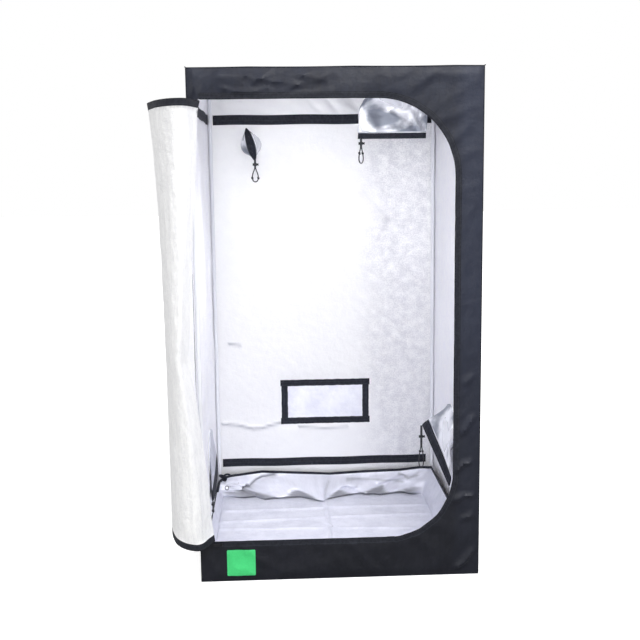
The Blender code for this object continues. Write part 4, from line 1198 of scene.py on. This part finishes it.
def door_columns():
    """Distances from the hinge at which the door's grid has a column, the cuts among them."""
    columns = []
    for start, end in zip(DOOR_CUTS, DOOR_CUTS[1:]):
        steps = max(2, round((end - start) / DOOR_COLUMN))
        columns += list(start + (end - start) * np.arange(steps) / steps)
    hem = DOOR_WIDTH - HEM_WIDTH
    columns = [c for c in columns if c < hem - 0.003]
    fine = DOOR_WIDTH - HEM_WIDTH * (1 - np.sin(np.radians(90.0) * np.linspace(0.0, 1.0, HEM_COLUMNS)))
    return np.array(columns + [hem - GAP] + list(fine))


def build_door():
    """One smooth cloth in strips, each in place of a door panel; only the last rides a door body."""
    columns = door_columns()
    low, high = door_heights(columns)
    hem_start = DOOR_WIDTH - HEM_WIDTH - 1e-6
    hem_low, hem_high = door_heights(np.minimum(columns, hem_start), HEM_WIDTH)
    hem_low = np.minimum(np.maximum(hem_low, low + HEM_LEAST), (low + high) / 2 - 0.1)
    hem_high = np.maximum(np.minimum(hem_high, high - HEM_LEAST), (low + high) / 2 + 0.1)
    rows = [low + (hem_low - low) * k / DOOR_HEM_ROWS for k in range(DOOR_HEM_ROWS + 1)]
    rows.append(hem_low + GAP)
    rows += [hem_low + (hem_high - hem_low) * k / DOOR_ROWS for k in range(1, DOOR_ROWS)]
    rows.append(hem_high - GAP)
    rows += [hem_high + (high - hem_high) * k / DOOR_HEM_ROWS for k in range(DOOR_HEM_ROWS + 1)]
    z = np.array(rows)
    u = np.broadcast_to(columns, z.shape).copy()
    grid = door_point(u, z)
    ripple = 0.0030 * field(u, z, 2.7, 0.035, 90.0, 9.0) + 0.0016 * folds(u, z, 6.1, 0.05, 75.0, 4.0)
    ripple += 0.0012 * field(u, z, 9.9, 0.02, 20.0, 1.5)
    loose = smooth(u / 0.03) * smooth((DOOR_WIDTH - u) / 0.03)
    ends = smooth((z - low) / 0.05) * smooth((high - z) / 0.05)
    row = np.arange(len(rows))
    last_cells = len(rows) - 1 - DOOR_HEM_ROWS
    trimmed = (row <= DOOR_HEM_ROWS) | (row >= last_cells)
    far = columns >= hem_start
    raised = np.where(trimmed[:, None] | far, HEM_RAISED, 0.0)
    grid = grid + grid_normals(grid, False) * (ripple * loose * ends + raised)[..., None]
    uv = grid_uv(u, z)
    uv[trimmed] = grid_uv(u, np.minimum(z - low, high - z))[trimmed]
    uv[:, far] = grid_uv(z, DOOR_WIDTH - u)[:, far]
    for strip, (start, end) in enumerate(zip(DOOR_CUTS, DOOR_CUTS[1:]), 1):
        inside = np.where((columns >= start - 1e-9) & (columns <= end + 1e-9))[0]
        part = slice(inside[0], inside[-1] + 1)

        def pick(r, c, first=inside[0]):
            bound = r < DOOR_HEM_ROWS or r >= last_cells or far[first + c]
            return (2, 2) if bound else (0, 1)

        name = f"door_cloth_{strip}"
        thick = DOOR_CLOTH + 2 * raised[:, part]
        mesh = sheet_mesh(name, grid[:, part], uv[:, part], thick, [BLACK, SILVER_DOOR, ZIP_TAPE], pick)
        body = None if strip <= DOOR_PANELS else f"door_{DOOR_PANELS}"
        piece = add_piece(name, mesh, body, [f"door_panel_{min(strip, DOOR_PANELS)}"])
        if body is None:
            blend_door(piece, strip)


def blend_door(piece, strip):
    """Bake the piece's place into its mesh; the bend points found for later strips are not used."""
    if strip == 1:
        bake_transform(piece)
        return
    z = np.array([BEND_HEIGHT])
    start, end = (door_point(np.array([u]), z)[0] for u in DOOR_BENDS[strip - 2])
    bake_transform(piece)


def sleeve_plans():
    """Where each sleeve starts and how its mouth lies, as in the part's source."""
    tilt = math.radians(BACK_SLEEVE_TILT_DEG)
    rightward, forward = np.array([1.0, 0.0, 0.0]), np.array([0.0, -1.0, 0.0])
    down_tilt = np.array([math.sin(tilt), 0.0, -math.cos(tilt)])
    side_tilt = np.array([math.cos(tilt), 0.0, math.sin(tilt)])
    line, left_line = unit(RIGHT_MOUTH_LINE), unit(LEFT_MOUTH_LINE)
    on_right = unit((0.0, line[1], line[2]))
    ways = {
        "roof": (rightward, forward, rightward, forward),
        "back": (down_tilt, side_tilt, down_tilt, side_tilt),
        "right": (on_right, np.cross(on_right, rightward), line, unit(RIGHT_MOUTH_ACROSS)),
        "left": (left_line, np.cross(left_line, rightward), left_line, rightward),
    }
    plans = {}
    for place, (a, b, mouth_a, mouth_b) in ways.items():
        centre, radius, _ = PORTS[place]
        root = WALLS[place].flat(*centre, -SLEEVE_INSET)
        plans[place] = {
            "radius": radius, "inward": -WALLS[place].out, "flat_share": FLAT_SHARES[place], "root": root,
            "a": a, "b": b, "mouth": root + np.array(MOUTH_OFFSETS[place]),
            "mouth_a": math.pi / 2 * radius * mouth_a, "mouth_b": MOUTH_HALF_DEPTHS[place] * mouth_b,
        }
    return plans


def sleeve_point(plan, along, angle):
    """A point of the sleeve's outer face: along runs from 0 at the port to 1 at the mouth."""
    along, angle = np.asarray(along, float), np.asarray(angle, float)
    ease = smooth(along / plan["flat_share"])[..., None]
    share = along[..., None]
    centre = (plan["root"] + plan["inward"] * SLEEVE_COLLAR) * (1 - share) + plan["mouth"] * share
    half_a = plan["a"] * plan["radius"] * (1 - ease) + plan["mouth_a"] * ease
    half_b = plan["b"] * plan["radius"] * (1 - ease) + plan["mouth_b"] * ease
    fold = (1 + FOLD_SHARE * np.sin(np.pi * along) * np.cos(FOLD_COUNT * angle))[..., None]
    return centre + fold * (half_a * np.cos(angle)[..., None] + half_b * np.sin(angle)[..., None])


def shut_mouth(plan, grid, t, angle):
    """Rows from the mouth to its middle line: pleats of the hem, drawn together by the cord."""
    mouth = grid[-1]
    line = unit(plan["mouth_a"])
    on_line = plan["mouth"] + ((mouth - plan["mouth"]) @ line)[:, None] * line
    pleats = 0.5 + 0.5 * np.cos(PLEAT_COUNT * angle[-1])
    rows = []
    for share in PLEAT_SHARES:
        depth = PLEAT_DEPTH * (1 - share) + PLEAT_DEPTH * pleats * math.sin(math.pi * share)
        rows.append(on_line + share * (mouth - on_line) - depth[:, None] * plan["inward"])
    grid = np.concatenate([grid, np.array(rows)])
    t = np.concatenate([t, np.ones((len(rows), t.shape[1]))])
    angle = np.concatenate([angle, np.repeat(angle[-1:], len(rows), axis=0)])
    return grid, t, angle


def sleeve_grid(place, plan):
    """The sleeve's smooth outer face in rows from the port on, and how far along and round they are."""
    hem = HEM_SHARES[place]
    hem_alongs = np.linspace(1 - hem + hem / HEM_ROWS, 1.0, HEM_ROWS)
    alongs = np.concatenate([np.linspace(0.0, 1 - hem, SLEEVE_ROWS), hem_alongs])
    angles = np.linspace(0.0, 2 * math.pi, SLEEVE_SIDES, endpoint=False)
    t, angle = np.meshgrid(alongs, angles, indexing="ij")
    root = plan["root"] + plan["radius"] * (
        plan["a"] * np.cos(angles)[:, None] + plan["b"] * np.sin(angles)[:, None]
    )
    grid = np.concatenate([root[None], sleeve_point(plan, t, angle)])
    t = np.concatenate([np.zeros((1, SLEEVE_SIDES)), t])
    angle = np.concatenate([angle[:1], angle])
    if np.dot(np.cross(plan["a"], plan["b"]), plan["inward"]) < 0:
        grid, angle = grid[:, ::-1], angle[:, ::-1]
    return shut_mouth(plan, grid, t, angle) if place == "back" else (grid, t, angle)


def build_sleeves(plans):
    """Crumpled sleeves with a black hem, each in place of its CAD sleeve."""
    for seed, (place, plan) in enumerate(plans.items()):
        hem_start = 1 - HEM_SHARES[place]
        grid, t, angle = sleeve_grid(place, plan)
        around = plan["radius"] * np.cos(angle) * 1.5
        front = plan["radius"] * np.sin(angle) * 1.5
        down = t * np.linalg.norm(plan["mouth"] - plan["root"])
        crush = folds(around + 0.3 * front, down + 0.8 * front, 3.3 + seed, 0.075, 55.0, 1.8)
        crush = crush + 0.5 * folds(around - 0.4 * front, down - front, 11.2 + seed, 0.045, -35.0, 1.6) - 0.8
        calm = smooth(t / 0.12) * (1 - 0.75 * smooth((t - hem_start + 0.08) / 0.08))
        in_hem = t > hem_start - 0.001
        raised = np.where(in_hem, SLEEVE_HEM_RAISED, 0.0)
        grid = grid + grid_normals(grid, True) * (CRUMPLES[place] * crush * calm + raised)[..., None]
        girth = 2 * math.pi * plan["radius"]
        columns = np.arange(SLEEVE_SIDES + 1) * girth / SLEEVE_SIDES
        uv = grid_uv(*np.broadcast_arrays(columns[None, :], down[:, :1]))
        first_hem = int(np.argmax(in_hem[:, 0]))
        uv[first_hem:, :, 1] = (t[first_hem:, :1] - hem_start) / HEM_SHARES[place] * HEM_TAPE

        def pick(r, c, first_hem=first_hem):
            return (2, 2) if r >= first_hem else (0, 1)

        name = f"sleeve_{place}"
        # The left sleeve gets the darker copy of the lining, painted shade.
        look = SILVER_PAINTED_SHADE if place == "left" else SILVER_SLEEVE
        mesh = sheet_mesh(name, grid, uv, SLEEVE_CLOTH + 2 * raised, [look, look, TAPE], pick, True)
        piece = add_piece(name, mesh, "tent", [f"duct_sleeve_{place}"], 60.0)


def smooth_route(points, step):
    """A smooth curve through the points, with a point about every step, as in the part's source."""
    ends = [points[0] * 2 - points[1], *points, points[-1] * 2 - points[-2]]
    route = [points[0].copy()]
    for p0, p1, p2, p3 in zip(ends, ends[1:], ends[2:], ends[3:]):
        pieces = max(1, round(float(np.linalg.norm(p2 - p1)) / step))
        route += [curve_between(p0, p1, p2, p3, piece / pieces) for piece in range(1, pieces + 1)]
    return route


def cord_start(plan, angle, along):
    """Just clear of the hem, where the part's cord starts."""
    half_a, half_b = plan["mouth_a"], plan["mouth_b"]
    normal = unit(np.cross(half_a, half_b))
    if normal @ (plan["mouth"] - plan["root"]) < 0:
        normal = -normal
    inside = half_a * math.cos(angle) / (half_a @ half_a) + half_b * math.sin(angle) / (half_b @ half_b)
    side_reach = CORD_D / 2 * math.sqrt(max(0.0, 1 - normal[2] ** 2))
    clear = side_reach + GAP + abs(along @ normal) * STRAND_PITCH / 2
    return sleeve_point(plan, 1.0, angle) - unit(inside) * 0.001 + normal * clear


def cord_route(place, top, along):
    """One drawcord: down one strand, round the loop and up the other."""
    half_pitch = along * (STRAND_PITCH / 2)
    loop = along * (CORD_LOOPS[place] / 2)
    down = np.array([0.0, 0.0, -1.0])
    straight = STRAIGHT_LENGTHS[place]
    rest = CORD_LENGTHS[place] - straight
    pauses = max(3, round(straight / STRAND_PAUSE) + 1)
    one_side = [top + half_pitch + down * straight * share for share in np.linspace(0.0, 1.0, pauses)]
    for down_share, width_share in CORD_LOOP_SHARES:
        one_side.append(top + loop * width_share + down * (straight + rest * down_share))
    other_side = []
    for point in reversed(one_side):
        offset = point - top
        other_side.append(top + offset - 2 * along * (offset @ along))
    return one_side + [top + down * CORD_LENGTHS[place]] + other_side


def build_cords(plans):
    """Drawcords with a knot on each strand."""
    for place, plan in plans.items():
        along, angle_deg = CORD_WAYS[place]
        along = np.array(along)
        top = cord_start(plan, math.radians(angle_deg), along)
        points = smooth_route(cord_route(place, top, along), CORD_STEP)
        curve = bpy.data.curves.new(f"cord_{place}", "CURVE")
        curve.dimensions = "3D"
        curve.bevel_depth = CORD_DRAWN_D / 2
        curve.bevel_resolution = 3
        curve.use_fill_caps = True
        spline = curve.splines.new("POLY")
        spline.points.add(len(points) - 1)
        for point, location in zip(spline.points, points):
            point.co = (*location, 1.0)
        curve.materials.append(CORD)
        piece = add_piece(f"cord_{place}", curve, "tent", [f"drawcord_{place}"])
        for side, share in enumerate((KNOT_SHARES[place], 1 - KNOT_SHARES[place])):
            centre = points[round(share * (len(points) - 1))]
            turn = np.linspace(0.0, KNOT_ANGLE, KNOT_STEPS)
            rise = np.linspace(-KNOT_HALF_HEIGHT, KNOT_HALF_HEIGHT, KNOT_STEPS)
            coil = np.stack([KNOT_R * np.cos(turn), KNOT_R * np.sin(turn), rise], axis=1) + centre
            mesh = tube_mesh(f"knot_{place}_{side}", [coil], CORD_DRAWN_D / 2, CORD)
            add_piece(f"knot_{place}_{side}", mesh, "tent", ())


def build_bands():
    """Black bands sewn across the inside of the walls."""
    above = -(SKIN + GAP + BAND_THICKNESS)
    for place, level, start, end, (low, high) in BANDS:
        a = np.arange(start, end, TAPE_STEP)
        path = np.stack([a, low + BAND_WAVE * np.sin(a * BAND_WAVE_RATE)], axis=1)
        side = np.stack([np.zeros_like(a), np.ones_like(a)], axis=1)
        name = f"band_{place}_{level}"
        band = sew_tape(name, place, path, side, high - low, above, BAND_THICKNESS, True, BAND_COLUMNS)


def build_collars():
    """Bound rims round the ports, on the outside."""
    side = arc((0.0, 0.0), 1.0, 0.0, 360.0, COLLAR_STEPS)
    for place in ("roof", "back", "left", "right"):
        centre, radius, _ = PORTS[place]
        path = arc(centre, radius - PORT_TUCK / 2, 0.0, 360.0, COLLAR_STEPS)
        sew_tape(f"collar_{place}", place, path, side, COLLAR_WIDTH, GAP + TAPE_THICKNESS, TAPE_THICKNESS)


def build_vent():
    """Mesh pane, its binding inside, and the flap outside."""
    wide, tall = VENT_HALF_WIDTH + MESH_MARGIN, VENT_HALF_HEIGHT + MESH_MARGIN
    columns, rows = MESH_GRID
    up = np.linspace(VENT_LOW - MESH_MARGIN, VENT_HIGH + MESH_MARGIN, rows)
    a, b = np.meshgrid(np.linspace(-wide, wide, columns), up)
    slack = smooth((VENT_HALF_WIDTH - np.abs(a)) / 0.05)
    slack = slack * smooth((VENT_HALF_HEIGHT - np.abs(b - VENT_MIDDLE)) / 0.04)
    wave = (0.0016 * field(a, b, 3.0, 0.07, 15.0, 2.5) - 0.0014) * slack
    grid = np.stack([-a, HALF - SKIN - 0.0006 + wave, b], axis=2)
    grid, uv = facing(grid, grid_uv(a, b), (0.0, -1.0, 0.0))
    mesh = sheet_mesh("mesh_pane", grid, uv, MESH_CLOTH, [MESH, MESH])
    pane = add_piece("mesh_pane", mesh, "tent", ["vent_mesh"])
    build_binding()
    columns, rows = FLAP_GRID
    half = FLAP_HALF_WIDTH
    a, b = np.meshgrid(np.linspace(-half, half, columns), np.linspace(-FLAP_HEIGHT, 0.0, rows))
    lift = 0.0020 * smooth(-b / 0.03) * (1 + field(a, b, 5.8, 0.08))
    lift = lift * smooth((half - np.abs(a)) / 0.03 + 0.3)
    grid = np.stack([-a, HALF + GAP + FLAP_CLOTH + lift, FLAP_TOP + b], axis=2)
    grid, uv = facing(grid, grid_uv(a, b), (0.0, 1.0, 0.0))

    def pick(r, c):
        edge = r < FLAP_EDGE or c < FLAP_EDGE or c > columns - 2 - FLAP_EDGE
        return (2, 2) if edge else (0, 1)

    mesh = sheet_mesh("flap_cloth", grid, uv, FLAP_CLOTH, [BLACK, SILVER, TAPE], pick)
    flap = add_piece("flap_cloth", mesh, "flap", ["vent_flap"])


def build_binding():
    """Four strips round the window; the upper and lower ones overrun the upright ones."""
    wide = VENT_HALF_WIDTH
    over = wide + BINDING_WIDTH + BINDING_OVERRUN
    low, high = VENT_LOW - BINDING_WIDTH, VENT_HIGH + BINDING_WIDTH
    above = -(SKIN + GAP + BAND_THICKNESS)
    strips = (
        ("low", (-over, VENT_LOW), (over, VENT_LOW), (0.0, -1.0), 0.0),
        ("high", (-over, VENT_HIGH), (over, VENT_HIGH), (0.0, 1.0), 0.0),
        ("left", (wide, low), (wide, high), (1.0, 0.0), 0.0008),
        ("right", (-wide, low), (-wide, high), (-1.0, 0.0), 0.0008),
    )
    shares = np.linspace(0.0, 1.0, BINDING_STEPS)[:, None]
    for edge, start, end, way, under in strips:
        path = np.array(start) * (1 - shares) + np.array(end) * shares
        path = path + BINDING_JAG * field(path[:, :1], path[:, 1:], 2.4, 0.012) * np.array(way)
        side = np.tile(np.array(way), (len(path), 1))
        sew_tape(
            f"binding_{edge}", "back", path, side, BINDING_WIDTH, above + under, BINDING_CLOTH, True,
            nodes=["vent_binding"] if edge == "low" else (),
        )


def tray_rim(count):
    """Points round a rounded square, counterclockwise from the middle of the right side."""
    half, radius = TRAY_HALF, TRAY_CORNER_R
    straight = 2 * (half - radius)
    quarter = math.pi * radius / 2
    total = 4 * (straight + quarter)
    points = []
    for s in np.linspace(0.0, total, count, endpoint=False):
        side, rest = divmod((s + straight / 2) % total, straight + quarter)
        if rest <= straight:
            local = (half, rest - straight / 2)
        else:
            turn = (rest - straight) / radius
            local = (half - radius + radius * math.cos(turn), half - radius + radius * math.sin(turn))
        quarter_turn = side * math.pi / 2
        c, n = math.cos(quarter_turn), math.sin(quarter_turn)
        points.append((local[0] * c - local[1] * n, local[0] * n + local[1] * c))
    return np.array(points)


def floor_creases(x, y):
    """Fold lines across the tray's floor, and its loose waves, above the floor level."""
    height = 0.0016 + 0.0014 * field(x, y, 3.6, 0.16)
    for line_y, tilt in TRAY_FLOOR_LINES:
        line = ((-0.5, line_y - tilt), (0.0, line_y + 0.01), (0.5, line_y + tilt))
        height = height + 0.0060 * crease(x, y, line, 0.010)
    height = height + 0.0060 * crease(x, y, ((-0.02, -0.5), (-0.012, 0.5)), 0.008)
    return np.maximum(height, 0.0)


def build_tray():
    """A slumped tray: creased floor, folded sides and a bound black rim."""
    rim = tray_rim(TRAY_COLUMNS)
    x, y = rim[:, 0], rim[:, 1]
    back = smooth((y - 0.40) / 0.07)
    right = smooth((x - 0.38) / 0.08)
    left = smooth((-x - 0.38) / 0.08)
    slump = TRAY_SLUMP + TRAY_SLUMP_RIGHT * right + TRAY_SLUMP_BACK * back
    for _ in range(TRAY_SLUMP_ROUNDS):
        foot_y = np.interp(x * (1 - slump / TRAY_HALF), *zip(*TRAY_FOOT))
        slump = (TRAY_SLUMP + TRAY_SLUMP_RIGHT * right) * (1 - back) + (TRAY_HALF - foot_y) * back
    floor_line = rim * (1 - slump / TRAY_HALF)[:, None]
    side_z = TRAY_SIDE_HEIGHT + TRAY_RISE_RIGHT * right - TRAY_DROP_LEFT * left
    rim_z = np.interp(x, *zip(*TRAY_BACK_RIM)) * back + side_z * (1 - back)
    rows, shades = [], []
    for share in np.concatenate([[0.006], np.linspace(0.06, 0.94, TRAY_FLOOR_ROWS), [0.985]]):
        fx, fy = (floor_line * share).T
        rows.append(np.stack([fx, fy, TRAY_FLOOR + floor_creases(fx, fy)], axis=1))
        shades.append(np.zeros(TRAY_COLUMNS))
    for share in np.linspace(0.0, 1.0, TRAY_SIDE_ROWS):
        height = np.full_like(x, share * TRAY_WALL)
        bulge = math.sin(math.pi * share)
        crush = 0.007 * bulge * folds(x, y + 0.3 * share, 7.9, 0.09) * (0.2 + back + right)
        crush = crush + 0.022 * back * math.exp(-((share - 0.14) / 0.08) ** 2)
        crush = crush + creased(x, height, TRAY_FOLDS) * back * bulge
        crush = crush + 0.016 * bulge * folds(x, y + 0.5 * share, 3.4, 0.03) * back * left
        reach = 1 - (slump * (1 - share) ** 1.15 + crush) / TRAY_HALF
        lean = TRAY_LEAN * left * (1 - back) * share
        z = TRAY_FLOOR + (rim_z - TRAY_FLOOR) * share ** 0.9
        rows.append(np.stack([x * reach - lean, y * reach, z], axis=1))
        # Painted shade on the back wall's lower facets and along its folds.
        under = smooth((np.interp(x, *zip(*TRAY_SHADE)) - share) / 0.10) * 0.8
        for line, width, depth in TRAY_SHADED_FOLDS:
            under = np.maximum(under, depth * crease(x, height, line, width))
        shades.append(np.clip(under * back, 0.0, 1.0))
    rows.append(rows[-1] + np.array([0.0, 0.0, TRAY_RIM]))
    shades.append(np.zeros(TRAY_COLUMNS))
    grid = np.array(rows)
    grid[..., 0] = np.clip(grid[..., 0], -TRAY_HALF - TRAY_LEAN, TRAY_HALF)
    grid[..., 1] = np.clip(grid[..., 1], -TRAY_HALF, TRAY_HALF)
    closed = np.concatenate([grid, grid[:, :1]], axis=1)
    uv = closed[..., :2].copy()
    sides = slice(-TRAY_SIDE_ROWS - 1, None)
    uv[sides, :, 0] = lengths_along(np.concatenate([rim, rim[:1]]))
    uv[sides, :, 1] = closed[sides, :, 2]

    def pick(r, c):
        return (2, 2) if r == len(rows) - 2 else (0, 1)

    thick = np.full(grid.shape[:2], TRAY_CLOTH)
    thick[-2:] += TRAY_BINDING
    mesh = sheet_mesh("tray", grid, uv, thick, [BLACK, SILVER_TRAY, TAPE], pick, True)
    write_shade(mesh, np.tile(np.ravel(shades), 2))
    piece = add_piece("tray", mesh, "tent", ["floor_tray"], 70.0)


def build_tray_tie():
    """A knotted tie and a small ring at the tray's back left corner."""
    turn = np.linspace(0.0, 5.2 * math.pi, 60)
    knot = np.stack([
        0.013 * np.cos(turn) + 0.011 * np.cos(turn * 0.37), 0.007 * np.sin(turn * 0.8),
        0.008 * np.sin(turn) + 0.006 * np.cos(turn * 0.61),
    ], axis=1) + np.array(TIE_KNOT)
    tail = smooth_route([np.array(point) for point in TIE_TAIL], 0.01)
    add_piece("tray_tie", tube_mesh("tray_tie", [knot, tail], TIE_R, TAPE), "tent", ())
    turn = np.linspace(0.0, 2 * math.pi, 33)
    ring = np.stack([0.008 * np.cos(turn), 0.003 * np.sin(turn), 0.008 * np.sin(turn)], axis=1)
    mesh = tube_mesh("tray_ring", [ring + np.array(RING_AT)], RING_R, SLIDER)
    add_piece("tray_ring", mesh, "tent", ())


build_camera()
build_stage()
build_lamps()
SLEEVES = sleeve_plans()
build_cords(SLEEVES)
dress_frame()
build_skin()
build_front_trim()
build_piping()
build_door()
build_sleeves(SLEEVES)
build_bands()
build_collars()
build_vent()
build_tray()
build_tray_tie()
